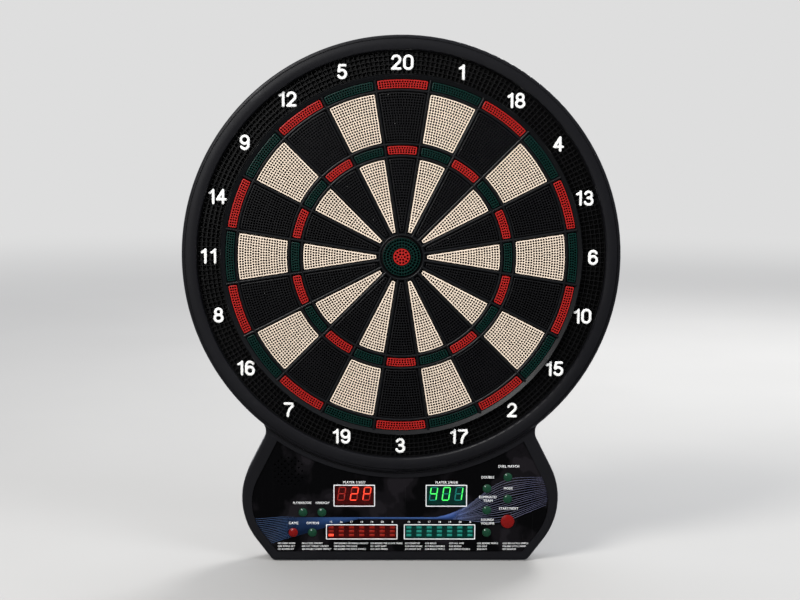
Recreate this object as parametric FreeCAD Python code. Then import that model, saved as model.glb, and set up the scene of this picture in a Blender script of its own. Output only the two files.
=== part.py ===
"""Wall-hung electronic dartboard: bristle-free target of sprung plastic segments above a scoring console.

Row frame: X to the right, Z up, the front faces -Y. The wall plane is Y = 0, behind the bull's centre.
Every "depth" below is the distance in front of the wall, so a depth d lies at Y = -d.
"""
import FreeCAD, Part
import math
import os

V = FreeCAD.Vector
TO_FRONT = V(0, -1, 0)

# Target radii (mm), from the bull outwards
BULL_INNER_R = 8.7
BULL_OUTER_R0, BULL_OUTER_R1 = 9.0, 19.8
BANDS = [("inner single", 24.75, 95.8), ("treble", 100.05, 107.9),
         ("outer single", 111.97, 159.3), ("double", 163.3, 171.45)]
SECTORS = 20
SECTOR_DEG = 360.0 / SECTORS
SIDE_GAP = 2.25            # from a spoke's centre line to a segment's side
CORNER_R = 0.8
FLANGE = 1.05              # how far a segment's rear flange reaches past its sides

# Depths of the target stack
WALL_T = 2.5
BOARD_D = (8.0, 11.0)
SHEET_T = 0.3
PAD_D = (11.6, 14.2)
SEGMENT_D = (15.7, 32.8)
FLANGE_T = 1.5
SPIDER_D = (17.5, 34.0)
PLATE_T = 2.7              # spider's rear plate, under the catch ring
RING_D = (20.5, 29.8)      # catch ring

# Spider web: rib centre radii with half widths at the root, and the crown of a rib
RIB_RINGS = [(97.92, 1.75), (109.93, 1.7), (161.3, 1.65)]
SPOKE_HALF = 1.9
RIB_TOP_HALF = 1.1
BULL_RING = (20.25, 24.3)
BAND_R = (171.85, 176.5)
SPIDER_R = 202.3
TARGET_SCREW_R = 189.0
TARGET_SCREWS = 10

# Housing
BEZEL_R = 214.0
OPENING_R = 199.6
BEZEL_D = 36.0
CONSOLE_D = 32.0
SPLIT_D = 10.0             # seam between rear cover and front housing
INNER_FACE_D = 28.0        # inside of the console's front wall
PANEL_D = 30.5             # floor of the overlay's recess
OVERLAY_T = 0.5
PANEL_TOP_R = 220.0
COVER_INSET = 1.5
CATCH_R = (176.9, 199.3)

# Console outline: two straight flanks per side, joined by a round shoulder
NECK_R = 14.0
UPPER_POINT, UPPER_SLOPE = (145.0, -200.0), 0.51
LOWER_POINT, LOWER_SLOPE = (138.0, -290.0), -0.76
SHOULDER_R = 70.0
BASE_Z = -304.5
BASE_CORNER_R = 7.0
PANEL_INSET = {"upper": 12.5, "lower": 9.0, "base": 9.0}
PANEL_SHOULDER_R = 52.0
PANEL_CORNER_R = 2.0

# Console fittings: (centre x, centre z) and sizes
SCORE_WINDOWS = {"left": (-45.8, -238.5), "right": (45.8, -238.5)}
SCORE_SIZE = (39.4, 20.4)
CRICKET_WINDOWS = {"left": (-38.3, -275.4), "right": (39.3, -275.4)}
CRICKET_SIZE = (69.4, 13.6)
WINDOW_GAP = 0.2
DIGIT_MODULE = (38.1, 19.0)
BAR_MODULE = (68.6, 13.0)
BUTTONS = {
    "button_player": (-96.8, -255.3, 4.3), "button_handicap": (-78.0, -255.3, 4.3),
    "button_game": (-106.5, -275.8, 4.5), "button_option": (-87.5, -275.8, 4.3),
    "button_match": (106.8, -219.3, 4.3), "button_double": (86.2, -231.0, 4.3),
    "button_master": (106.8, -241.5, 4.3), "button_team": (86.2, -253.0, 4.3),
    "button_start": (107.0, -264.5, 6.7), "button_sound": (86.2, -275.8, 4.3),
}
BUTTON_GAP = 0.3
BUTTON_D = (24.0, 26.0, 27.7, 33.0)   # stem end, flange back, flange front, crown
BUTTON_FLANGE = 1.4
STEM_R = 1.5
SWITCH = (6.0, 2.0)                    # side and height
SPEAKER_C = (-111.0, -213.5)
GRILLE_R, GRILLE_HOLE_R, GRILLE_PITCH = 17.0, 0.95, 3.35
SPEAKER_R, MAGNET_R = 18.0, 9.0
SPEAKER_D = (13.5, 21.0, 27.7)         # magnet back, frame back, frame front

# Circuit board
PCB_D = (19.0, 20.6)
PCB_RECTS = [(-114, 114, -289, -246), (-72, 114, -246, -226), (78, 114, -226, -212)]
PCB_POSTS = [(-110, -284), (110, -284), (-68.5, -230.5), (20, -230.5), (96, -216)]
POST_R = 3.0

# Fasteners
CASE_SCREWS_RING = [90, 30, 150, -15, 195]
CASE_SCREW_R = 207.0
CASE_SCREWS_CONSOLE = [(140, -250), (-140, -250), (120, -296), (-120, -296)]
BOSS_R = 3.8
HEAD_R, HEAD_T = 3.0, 2.0
CASE_HEAD_D = (4.0, 6.0)
PILOT_R, SHANK_R, CLEAR_R = 1.4, 1.35, 1.75

# Wall hanging: two keyholes in the rear cover
KEYHOLE_X, KEYHOLE_Z = 100.0, 140.0
KEYHOLE_R, KEYHOLE_SLOT_R, KEYHOLE_RISE = 4.5, 2.25, 8.0

# Battery bay (three cells, each lying along X) and its door
BAY_X = (-100.0, -30.0)
BAY_Z = (-296.0, -239.0)
BAY_D = 18.6
BAY_WALL = 2.0
CELL_R, CELL_L = 7.1, 49.5
CELL_Z = (-250.5, -266.0, -281.5)
CELL_X0 = -89.5
CELL_D = 10.0
HINGE_Z, HINGE_D = -291.5, 1.6
HINGE_R, PIN_R, PIN_BORE_R = 1.4, 1.0, 1.06
DOOR_T = 2.0
DOOR_GAP = 0.5

# Adapter inlet in the console's base
JACK_X, JACK_D = 60.0, 14.6
JACK_SIZE = (9.0, 8.4, 11.5)           # width, depth, height
JACK_BORE_R, JACK_BORE_L, JACK_PIN_R = 2.85, 9.0, 1.05
JACK_HOLE_R = 4.0


def cylinder(r, d0, d1, x=0.0, z=0.0):
    """Solid round bar along Y between two depths."""
    return Part.makeCylinder(r, d1 - d0, V(x, -d0, z), TO_FRONT)


def tube(r0, r1, d0, d1, x=0.0, z=0.0):
    return cylinder(r1, d0, d1, x, z).cut(cylinder(r0, d0 - 1, d1 + 1, x, z))


def block(x0, x1, d0, d1, z0, z1):
    return Part.makeBox(x1 - x0, d1 - d0, z1 - z0, V(x0, -d1, z0))


def plate(face, d0, d1):
    """A flat face drawn in the wall plane, thickened between two depths."""
    return face.translated(V(0, -d0, 0)).extrude(TO_FRONT * (d1 - d0))


def polygon(points):
    """Face in the wall plane from (x, z) corners."""
    return Part.Face(Part.makePolygon([V(x, 0, z) for x, z in points + points[:1]]))


def ring(profile):
    """Full turn about the Y axis of a closed chain; each item is a (radius, depth) corner, or two of them
    where an arc passes through the first and ends at the second."""
    at = lambda p: V(p[0], -p[1], 0)
    edges, last = [], profile[0]
    for item in profile[1:] + profile[:1]:
        if isinstance(item[0], tuple):
            edges.append(Part.Arc(at(last), at(item[0]), at(item[1])).toShape())
            last = item[1]
        else:
            edges.append(Part.LineSegment(at(last), at(item)).toShape())
            last = item
    return Part.Face(Part.Wire(edges)).revolve(V(0, 0, 0), V(0, 1, 0), 360)


def turned(shape, degrees):
    """Copy turned clockwise, as seen from the front."""
    copy = shape.copy()
    copy.rotate(V(0, 0, 0), V(0, 1, 0), degrees)
    return copy


def polar(r, degrees):
    """Point at an angle counted anticlockwise from +X, seen from the front."""
    return r * math.cos(math.radians(degrees)), r * math.sin(math.radians(degrees))


def save(name, *solids):
    shape = solids[0] if len(solids) == 1 else Part.makeCompound(list(solids))
    shape.exportStep(f"parts/{name}.step")


# ---------------------------------------------------------------- outlines

class Flank:
    """Straight flank of the console's right side: a point, its direction down and its outward normal."""

    def __init__(self, point, slope, inset):
        size = math.hypot(slope, 1)
        self.along = (slope / size, -1 / size)
        self.out = (1 / size, slope / size)
        self.at = (point[0] - inset * self.out[0], point[1] - inset * self.out[1])

    def moved_in(self, r):
        return self.at[0] - r * self.out[0], self.at[1] - r * self.out[1]

    def touch(self, centre, r):
        """Where a circle inside the flank touches it."""
        return centre[0] + r * self.out[0], centre[1] + r * self.out[1]


def crossing(p, u, q, v):
    """Where the line through p along u meets the line through q along v."""
    t = ((q[0] - p[0]) * v[1] - (q[1] - p[1]) * v[0]) / (u[0] * v[1] - u[1] * v[0])
    return p[0] + t * u[0], p[1] + t * u[1]


def arc(start, end, centre, r):
    """Short arc between two points of a circle."""
    mx, mz = (start[0] + end[0]) / 2 - centre[0], (start[1] + end[1]) / 2 - centre[1]
    k = r / math.hypot(mx, mz)
    return Part.Arc(V(start[0], 0, start[1]), V(centre[0] + k * mx, 0, centre[1] + k * mz),
                    V(end[0], 0, end[1])).toShape()


def line(start, end):
    return Part.LineSegment(V(start[0], 0, start[1]), V(end[0], 0, end[1])).toShape()


def side_edges(upper, lower, start, shoulder_r, corner_r, base_z):
    """Right side from a start on the upper flank, round the shoulder and base corner, to the base line."""
    shoulder = crossing(upper.moved_in(shoulder_r), upper.along, lower.moved_in(shoulder_r), lower.along)
    corner = crossing(lower.moved_in(corner_r), lower.along, (0, base_z + corner_r), (1, 0))
    top, low = upper.touch(shoulder, shoulder_r), lower.touch(shoulder, shoulder_r)
    turn, foot = lower.touch(corner, corner_r), (corner[0], base_z)
    edges = [line(start, top), arc(top, low, shoulder, shoulder_r), line(low, turn),
             arc(turn, foot, corner, corner_r)]
    return edges, foot


def mirrored(edges):
    return [e.mirror(V(0, 0, 0), V(1, 0, 0)) for e in edges]


def closed_face(edges):
    return Part.Face(Part.Wire(Part.__sortEdges__(edges)))


def outline(inset):
    """Whole silhouette: the round bezel, a hollow neck on each side and the console below."""
    upper = Flank(UPPER_POINT, UPPER_SLOPE, inset)
    lower = Flank(LOWER_POINT, LOWER_SLOPE, inset)
    bezel, neck = BEZEL_R - inset, NECK_R + inset
    near = (upper.at[0] + neck * upper.out[0], upper.at[1] + neck * upper.out[1])
    b = near[0] * upper.along[0] + near[1] * upper.along[1]
    gap = near[0] ** 2 + near[1] ** 2 - (bezel + neck) ** 2
    reach = math.sqrt(b * b - gap)
    t = min((-b - reach, -b + reach), key=abs)
    centre = (near[0] + t * upper.along[0], near[1] + t * upper.along[1])
    on_bezel = tuple(c * bezel / (bezel + neck) for c in centre)
    on_flank = (centre[0] - neck * upper.out[0], centre[1] - neck * upper.out[1])
    edges, foot = side_edges(upper, lower, on_flank, SHOULDER_R - inset, max(BASE_CORNER_R - inset, 0.5),
                             BASE_Z + inset)
    edges.insert(0, arc(on_bezel, on_flank, centre, neck))
    top = Part.Arc(V(on_bezel[0], 0, on_bezel[1]), V(0, 0, bezel), V(-on_bezel[0], 0, on_bezel[1])).toShape()
    return closed_face([top] + edges + mirrored(edges) + [line(foot, (-foot[0], foot[1]))])


def panel_outline(gap=0.0):
    """Recess of the printed overlay: console shape with an arched top that follows the bezel."""
    upper = Flank(UPPER_POINT, UPPER_SLOPE, PANEL_INSET["upper"] + gap)
    lower = Flank(LOWER_POINT, LOWER_SLOPE, PANEL_INSET["lower"] + gap)
    r = PANEL_TOP_R + gap
    b = upper.at[0] * upper.along[0] + upper.at[1] * upper.along[1]
    t = -b + math.sqrt(b * b - (upper.at[0] ** 2 + upper.at[1] ** 2 - r * r))
    start = (upper.at[0] + t * upper.along[0], upper.at[1] + t * upper.along[1])
    edges, foot = side_edges(upper, lower, start, PANEL_SHOULDER_R - gap, PANEL_CORNER_R,
                             BASE_Z + PANEL_INSET["base"] + gap)
    top = Part.Arc(V(start[0], 0, start[1]), V(0, 0, -r), V(-start[0], 0, start[1])).toShape()
    return closed_face([top] + edges + mirrored(edges) + [line(foot, (-foot[0], foot[1]))])


def front_edges(shape, depth):
    return [e for e in shape.Edges if all(abs(p.Point.y + depth) < 1e-6 for p in e.Vertexes)]


# ---------------------------------------------------------------- target

def sector_shape(r0, r1, side, grow):
    """Outline of one segment about the +Z direction: two arcs and two sides parallel to the spokes."""
    r0, r1, side = r0 - grow, r1 + grow, side - grow
    def corner(r, sign):
        a = math.radians(SECTOR_DEG / 2) - math.asin(side / r)
        return sign * r * math.sin(a), r * math.cos(a)
    inner, outer = corner(r0, 1), corner(r1, 1)
    flip = lambda p: (-p[0], p[1])
    return closed_face([arc(flip(inner), inner, (0, 0), r0), line(inner, outer),
                        arc(outer, flip(outer), (0, 0), r1), line(flip(outer), flip(inner))])


def segment(r0, r1):
    """Flat-fronted plastic key with rounded corners and a rear flange that the web holds in."""
    body = plate(sector_shape(r0, r1, SIDE_GAP, 0), *SEGMENT_D)
    upright = [e for e in body.Edges if abs(e.tangentAt(e.FirstParameter).y) > 0.99]
    body = body.makeFillet(CORNER_R, upright)
    flange = plate(sector_shape(r0, r1, SIDE_GAP, FLANGE), SEGMENT_D[0], SEGMENT_D[0] + FLANGE_T)
    return body.fuse(flange).removeSplitter()


def bull_inner():
    back = SEGMENT_D[0]
    return cylinder(BULL_INNER_R, *SEGMENT_D).fuse(cylinder(BULL_INNER_R + 1.7, back, back + FLANGE_T))


def bull_outer():
    back = SEGMENT_D[0]
    body = tube(BULL_OUTER_R0, BULL_OUTER_R1, *SEGMENT_D)
    body = body.fuse(tube(BULL_OUTER_R0, BULL_OUTER_R1 + FLANGE, back, back + FLANGE_T))
    return body.cut(cylinder(BULL_INNER_R + 2.1, back - 1, back + FLANGE_T + 1.6))


def rib_profile(centre, half):
    """Cross-section of a rib: straight root, drawn-in neck and a rounded crown."""
    back, front = SPIDER_D
    neck, crown = front - 3.0, front - 0.8
    return [(centre - half, back), (centre - half, neck), (centre - RIB_TOP_HALF, crown),
            ((centre, front), (centre + RIB_TOP_HALF, crown)), (centre + half, neck), (centre + half, back)]


def spoke():
    """Rib along +Z from the bull ring to the outer band."""
    back, front = SPIDER_D
    neck, crown = front - 3.0, front - 0.8
    z0, h, t = 22.0, SPOKE_HALF, RIB_TOP_HALF
    at = lambda x, d: V(x, -d, z0)
    corners = [at(t, crown), at(h, neck), at(h, back), at(-h, back), at(-h, neck), at(-t, crown)]
    edges = [Part.LineSegment(a, b).toShape() for a, b in zip(corners, corners[1:])]
    edges.append(Part.Arc(corners[-1], at(0, front), corners[0]).toShape())
    return Part.Face(Part.Wire(edges)).extrude(V(0, 0, BAND_R[0] + 1 - z0))


def target_screw_places():
    return [polar(TARGET_SCREW_R, 360.0 * i / TARGET_SCREWS) for i in range(TARGET_SCREWS)]


def spider():
    back, front = SPIDER_D
    r0, r1 = BULL_RING
    bull = ring([(r0, back), (r0, front - 2.5), (r0 + 0.5, front - 0.7), ((r0 + 1.4, front), (r0 + 2.3, front - 0.7)),
                 (r1, front - 3.5), (r1, back)])
    a, b = BAND_R
    band = ring([(a, back), (a, front - 2.2), (a + 0.5, front - 1.6), (b - 0.5, front + 0.4), (b, front - 0.2),
                 (b, back + PLATE_T), (SPIDER_R, back + PLATE_T), (SPIDER_R, back)])
    parts = [ring(rib_profile(c, h)) for c, h in RIB_RINGS]
    parts += [turned(spoke(), SECTOR_DEG * (i + 0.5)) for i in range(SECTORS)]
    parts += [cylinder(3.5, BOARD_D[1], back + 1, x, z) for x, z in target_screw_places()]
    web = band.multiFuse([bull] + parts)
    web = web.cut(Part.makeCompound([cylinder(PILOT_R, BOARD_D[1] - 1, back + 1.5, x, z)
                                     for x, z in target_screw_places()]))
    return web.removeSplitter()


def catch_ring():
    """Number ring; it sits on the spider's plate. Shallow tracks mark its five rows of pockets."""
    r0, r1 = CATCH_R
    body = tube(r0, r1, *RING_D)
    pitch = (r1 - r0) / 5
    tracks = [tube(r0 + i * pitch + 0.4, r0 + (i + 1) * pitch - 0.4, RING_D[1] - 1.5, RING_D[1] + 1) for i in range(5)]
    return body.cut(Part.makeCompound(tracks))


def backing_board():
    board = cylinder(196.0, *BOARD_D)
    return board.cut(Part.makeCompound([cylinder(CLEAR_R, 7, 12, x, z) for x, z in target_screw_places()]))


def membrane_lower():
    """Sensor sheet with the flat tail that runs to the circuit board's edge connector."""
    d0 = BOARD_D[1]
    d1 = d0 + SHEET_T
    run = block(-15, 15, d0, d1, -224.5, -170)
    rise = block(-15, 15, d0, 16.2, -224.8, -224.5)
    return cylinder(181.0, d0, d1).fuse([run, rise])


def membrane_upper():
    return cylinder(181.0, BOARD_D[1] + SHEET_T, PAD_D[0])


def return_pad():
    return cylinder(182.0, *PAD_D)


# ---------------------------------------------------------------- housing

def case_screw_places():
    return [polar(CASE_SCREW_R, a) for a in CASE_SCREWS_RING] + CASE_SCREWS_CONSOLE


def grille_places():
    """Staggered lattice of sound holes inside the speaker's circle."""
    n = int(GRILLE_R / GRILLE_PITCH) + 1
    spots = [(i * GRILLE_PITCH, j * GRILLE_PITCH) for i in range(-n, n + 1) for j in range(-n, n + 1)
             if (i + j) % 2 == 0]
    return [(SPEAKER_C[0] + x, SPEAKER_C[1] + z) for x, z in spots if math.hypot(x, z) <= GRILLE_R]


def windows(d0, d1, shrink=0.0):
    """Blocks through the four display openings."""
    spots = [(c, SCORE_SIZE) for c in SCORE_WINDOWS.values()] + [(c, CRICKET_SIZE) for c in CRICKET_WINDOWS.values()]
    return [block(x - w / 2 + shrink, x + w / 2 - shrink, d0, d1, z - h / 2 + shrink, z + h / 2 - shrink)
            for (x, z), (w, h) in spots]


def front_cutters(d0, d1):
    """Everything that passes through the console's front: windows, button holes and sound holes."""
    cutters = windows(d0, d1)
    cutters += [cylinder(r + BUTTON_GAP, d0, d1, x, z) for x, z, r in BUTTONS.values()]
    cutters += [cylinder(GRILLE_HOLE_R, d0, d1, x, z) for x, z in grille_places()]
    return Part.makeCompound(cutters)


def bezel_ring():
    """Round bezel: crowned face, a fine groove, a rounded outer lip, and a hollow back."""
    r0, r1, t = OPENING_R, BEZEL_R, WALL_T
    inside = BEZEL_D - 3.5
    return ring([(r0, RING_D[0]), (r0, 33.8), ((r0 + 0.4, 34.9), (r0 + 1.4, 35.4)),
                 ((205.8, 36.0), (210.2, 35.5)), (210.35, 34.6), (210.95, 34.6), (211.1, 35.3),
                 ((213.1, 34.5), (r1, 32.5)), (r1, SPLIT_D), (r1 - t, SPLIT_D), (r1 - t, inside),
                 (r0 + t - 0.1, inside), (r0 + t - 0.1, RING_D[0])])


def front_housing():
    console = plate(outline(0), SPLIT_D, CONSOLE_D)
    console = console.makeFillet(3.0, front_edges(console, CONSOLE_D))
    console = console.cut(cylinder(BEZEL_R - 1.2, 0, 50))
    cavity = plate(outline(WALL_T), SPLIT_D - 1, INNER_FACE_D).cut(cylinder(BEZEL_R, 0, 50))
    console = console.cut(cavity)
    console = console.cut(plate(panel_outline(), PANEL_D, CONSOLE_D + 5))
    console = console.cut(tube(215.2, 215.9, CONSOLE_D - 0.8, CONSOLE_D + 2))
    bosses = [cylinder(BOSS_R, SPLIT_D, 33.0, *polar(CASE_SCREW_R, a)) for a in CASE_SCREWS_RING]
    bosses += [cylinder(BOSS_R, SPLIT_D, INNER_FACE_D + 1, x, z) for x, z in CASE_SCREWS_CONSOLE]
    body = bezel_ring().multiFuse([console] + bosses)
    pilots = [cylinder(PILOT_R, SPLIT_D - 1, 25.0, x, z) for x, z in case_screw_places()]
    tail_gate = block(-20, 20, SPLIT_D - 1, 15, -218, -205)
    inlet = Part.makeCylinder(JACK_HOLE_R, 6, V(JACK_X, -JACK_D, BASE_Z - 1), V(0, 0, 1))
    body = body.cut(Part.makeCompound(pilots))
    body = body.cut(front_cutters(INNER_FACE_D - 1, PANEL_D + 3))
    return body.cut(tail_gate).cut(inlet)


def keyhole(x):
    """Round entry for a screw head with a narrow slot above it."""
    entry = cylinder(KEYHOLE_R, -1, WALL_T + 1, x, KEYHOLE_Z)
    slot = block(x - KEYHOLE_SLOT_R, x + KEYHOLE_SLOT_R, -1, WALL_T + 1, KEYHOLE_Z, KEYHOLE_Z + KEYHOLE_RISE)
    return [entry, slot, cylinder(KEYHOLE_SLOT_R, -1, WALL_T + 1, x, KEYHOLE_Z + KEYHOLE_RISE)]


def battery_bay():
    """Open-backed box for the cells: its solid block, and the room inside with the bore for the door's pins."""
    (x0, x1), (z0, z1), t = BAY_X, BAY_Z, BAY_WALL
    box = block(x0, x1, 0, BAY_D, z0, z1)
    room = block(x0 + t, x1 - t, -1, BAY_D - 1.2, z0 + t, z1 - t)
    bore = Part.makeCylinder(PIN_BORE_R, x1 - x0, V(x0, -HINGE_D, HINGE_Z), V(1, 0, 0))
    return box, [room, bore]


def rear_cover():
    cover = plate(outline(COVER_INSET), 0, SPLIT_D)
    cover = cover.makeFillet(2.4, front_edges(cover, 0))
    cover = cover.cut(plate(outline(COVER_INSET + WALL_T), WALL_T, SPLIT_D + 1))
    bosses = [cylinder(4.6, 1, SPLIT_D, x, z) for x, z in case_screw_places()]
    posts = [cylinder(POST_R, 1, PCB_D[0], x, z) for x, z in PCB_POSTS]
    rests = [cylinder(4.0, 1, BOARD_D[0], *polar(125.0, 45.0 * i + 22.5)) for i in range(8)]
    ribs = [tube(59, 60.6, 1, BOARD_D[0]), tube(150, 151.6, 1, BOARD_D[0] - 2)]
    bay, cutters = battery_bay()
    body = cover.multiFuse(bosses + posts + rests + ribs + [bay])
    cutters += [cylinder(HEAD_R + 0.4, -1, CASE_HEAD_D[1], x, z) for x, z in case_screw_places()]
    cutters += [cylinder(CLEAR_R, 0, SPLIT_D + 1, x, z) for x, z in case_screw_places()]
    cutters += [cylinder(PILOT_R, 8, PCB_D[0] + 1, x, z) for x, z in PCB_POSTS]
    cutters += keyhole(KEYHOLE_X) + keyhole(-KEYHOLE_X)
    cutters += [block(-126, -98, -1, 4, -226 + 6 * i, -224 + 6 * i) for i in range(5)]
    return body.cut(Part.makeCompound(cutters))


def console_overlay():
    sheet = plate(panel_outline(0.15), PANEL_D, PANEL_D + OVERLAY_T)
    return sheet.cut(front_cutters(PANEL_D - 1, PANEL_D + 2))


def window_lens(centre, size):
    (x, z), (w, h), g = centre, size, WINDOW_GAP
    lens = block(x - w / 2 + g, x + w / 2 - g, 28.4, PANEL_D + OVERLAY_T, z - h / 2 + g, z + h / 2 - g)
    return lens.makeFillet(0.4, [e for e in lens.Edges if abs(e.tangentAt(e.FirstParameter).y) > 0.99])


def led_module(centre, size):
    (x, z), (w, h) = centre, size
    return block(x - w / 2, x + w / 2, PCB_D[1], 28.1, z - h / 2, z + h / 2)


# ---------------------------------------------------------------- electronics

def main_pcb():
    rects = [block(x0, x1, *PCB_D, z0, z1) for x0, x1, z0, z1 in PCB_RECTS]
    board = rects[0].multiFuse(rects[1:]).removeSplitter()
    return board.cut(Part.makeCompound([cylinder(CLEAR_R, 18, 22, x, z) for x, z in PCB_POSTS]))


def pcb_components():
    """Parts soldered to the board's rear: processor, driver chips, tail socket and two capacitors."""
    back = PCB_D[0]
    chips = [block(30, 44, back - 1.6, back, -262, -248), block(-4, 14, back - 1.8, back, -258, -250),
             block(-4, 14, back - 1.8, back, -276, -268), block(78, 96, back - 1.8, back, -246, -238),
             block(-17, 17, back - 3.5, back, -232.5, -227.0)]
    cans = [cylinder(3.2, back - 9, back, 30, -278), cylinder(2.5, back - 7, back, 44, -278)]
    return chips + cans


def tact_switches():
    side, height = SWITCH
    return [block(x - side / 2, x + side / 2, PCB_D[1], PCB_D[1] + height, z - side / 2, z + side / 2)
            for x, z, _ in BUTTONS.values()]


def button(x, z, r):
    """Domed cap with a retaining flange under the console's front and a stem over its switch."""
    end, back, front, crown = BUTTON_D
    rise = 1.2
    dome_r = (r * r + rise * rise) / (2 * rise)
    cap = cylinder(r, back, crown, x, z)
    dome = Part.makeSphere(dome_r, V(x, -(crown - dome_r), z))
    cap = cap.common(dome.fuse(cylinder(r + 1, back - 1, crown - rise - 0.01, x, z)))
    flange = cylinder(r + BUTTON_FLANGE, back, front, x, z)
    return cap.fuse([flange, cylinder(STEM_R, end, back + 0.5, x, z)]).removeSplitter()


def speaker():
    """Round dynamic speaker: magnet, pressed frame and a shallow cone behind the sound holes."""
    x, z = SPEAKER_C
    back, mid, front = SPEAKER_D
    body = cylinder(SPEAKER_R, mid, front, x, z).fuse(cylinder(MAGNET_R, back, mid + 1, x, z))
    cone = Part.makeCone(5.0, 15.5, 4.5, V(x, -(front - 4.0), z), TO_FRONT)
    return body.cut(cone)


def dc_jack():
    w, t, h = JACK_SIZE
    z0 = BASE_Z + WALL_T
    case = block(JACK_X - w / 2, JACK_X + w / 2, JACK_D - t / 2, JACK_D + t / 2, z0, z0 + h)
    up = V(0, 0, 1)
    bore = Part.makeCylinder(JACK_BORE_R, JACK_BORE_L, V(JACK_X, -JACK_D, z0), up)
    pin = Part.makeCylinder(JACK_PIN_R, JACK_BORE_L - 1, V(JACK_X, -JACK_D, z0 + 1.5), up)
    return case.cut(bore).fuse(pin)


# ---------------------------------------------------------------- power

def battery_cell(z, flip):
    """Cylindrical cell along X with a small nub at its positive end."""
    along = V(-1 if flip else 1, 0, 0)
    start = V(CELL_X0 + (CELL_L if flip else 0), -CELL_D, z)
    body = Part.makeCylinder(CELL_R, CELL_L, start, along)
    nub = Part.makeCylinder(2.7, 1.0, start + along * CELL_L, along)
    return body.fuse(nub)


def battery_contacts():
    """A plated leaf at each end of each cell; the negative end has a tapered spring."""
    x0, x1 = BAY_X[0] + BAY_WALL, BAY_X[1] - BAY_WALL
    parts = []
    for i, z in enumerate(CELL_Z):
        parts += [block(x0 + 0.1, x0 + 0.6, CELL_D - 5, CELL_D + 5, z - 5, z + 5),
                  block(x1 - 0.6, x1 - 0.1, CELL_D - 5, CELL_D + 5, z - 5, z + 5)]
        start, end = CELL_X0, CELL_X0 + CELL_L
        if i % 2 == 0:
            parts.append(Part.makeCone(5.0, 2.6, start - x0 - 0.8, V(x0 + 0.6, -CELL_D, z), V(1, 0, 0)))
        else:
            parts.append(Part.makeCone(5.0, 2.6, x1 - 0.8 - end, V(x1 - 0.6, -CELL_D, z), V(-1, 0, 0)))
    return parts


def battery_door():
    """Flat door flush with the wall side, a hinge barrel along its lower edge and a pin at each end."""
    x0, x1 = BAY_X[0] + BAY_WALL + DOOR_GAP, BAY_X[1] - BAY_WALL - DOOR_GAP
    top = BAY_Z[1] - BAY_WALL - DOOR_GAP
    panel = block(x0, x1, 0, DOOR_T, HINGE_Z, top)
    along = V(1, 0, 0)
    barrel = Part.makeCylinder(HINGE_R, x1 - x0, V(x0, -HINGE_D, HINGE_Z), along)
    pin = Part.makeCylinder(PIN_R, x1 - x0 + 2 * (DOOR_GAP + 1.6), V(x0 - DOOR_GAP - 1.6, -HINGE_D, HINGE_Z), along)
    grip = [block(-76 + 4 * i, -74.5 + 4 * i, -1, 0.5, top - 9, top - 3) for i in range(6)]
    return panel.fuse([barrel, pin]).removeSplitter().cut(Part.makeCompound(grip))


# ---------------------------------------------------------------- fasteners

def screw(x, z, head, tip):
    """Pan-head screw driven from behind: head at its two depths, shank on to the tip."""
    return cylinder(HEAD_R, head[0], head[1], x, z).fuse(cylinder(SHANK_R, head[1], tip, x, z)).cut(
        block(x - 0.5, x + 0.5, head[0] - 1, head[0] + 1, z - 2, z + 2))


def casing_screws():
    return [screw(x, z, CASE_HEAD_D, 22.0) for x, z in case_screw_places()]


def inner_screws():
    """Screws that clamp the target stack, and those that hold the circuit board to its posts."""
    clamp = [screw(x, z, (BOARD_D[0] - HEAD_T, BOARD_D[0]), 17.5) for x, z in target_screw_places()]
    posts = []
    for x, z in PCB_POSTS:
        head = cylinder(HEAD_R - 0.4, PCB_D[1], PCB_D[1] + HEAD_T, x, z)
        posts.append(head.fuse(cylinder(SHANK_R, 9.0, PCB_D[1], x, z)))
    return clamp + posts


def main():
    os.makedirs("parts", exist_ok=True)
    keys = [segment(r0, r1) for _, r0, r1 in BANDS]
    for i in range(SECTORS):
        save(f"segments_{i + 1:02d}", *[turned(k, SECTOR_DEG * i) for k in keys])
    save("bull_inner", bull_inner())
    save("bull_outer", bull_outer())
    for make in (spider, catch_ring, backing_board, membrane_lower, membrane_upper, return_pad,
                 front_housing, rear_cover, console_overlay, main_pcb, speaker, dc_jack, battery_door):
        save(make.__name__, make())
    for side in ("left", "right"):
        save(f"score_window_{side}", window_lens(SCORE_WINDOWS[side], SCORE_SIZE))
        save(f"cricket_window_{side}", window_lens(CRICKET_WINDOWS[side], CRICKET_SIZE))
        save(f"led_digits_{side}", led_module(SCORE_WINDOWS[side], DIGIT_MODULE))
        save(f"led_bars_{side}", led_module(CRICKET_WINDOWS[side], BAR_MODULE))
    for name, place in BUTTONS.items():
        save(name, button(*place))
    save("pcb_components", *pcb_components())
    save("tact_switches", *tact_switches())
    save("batteries", *[battery_cell(z, i % 2 == 1) for i, z in enumerate(CELL_Z)])
    save("battery_contacts", *battery_contacts())
    save("casing_screws", *casing_screws())
    save("inner_screws", *inner_screws())


main()
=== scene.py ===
"""Looks of the wall-hung electronic dartboard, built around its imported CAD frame.

Shapes are worked out in millimetres: x to the right, z up, and a depth d in front of the wall plane, so a
point lies at (x, -d, z). Skin turns them into metres in the frame's axes. Finishes and the studio use metres.
"""
import math

import bpy
import numpy as np
from mathutils import Matrix, Vector


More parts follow.
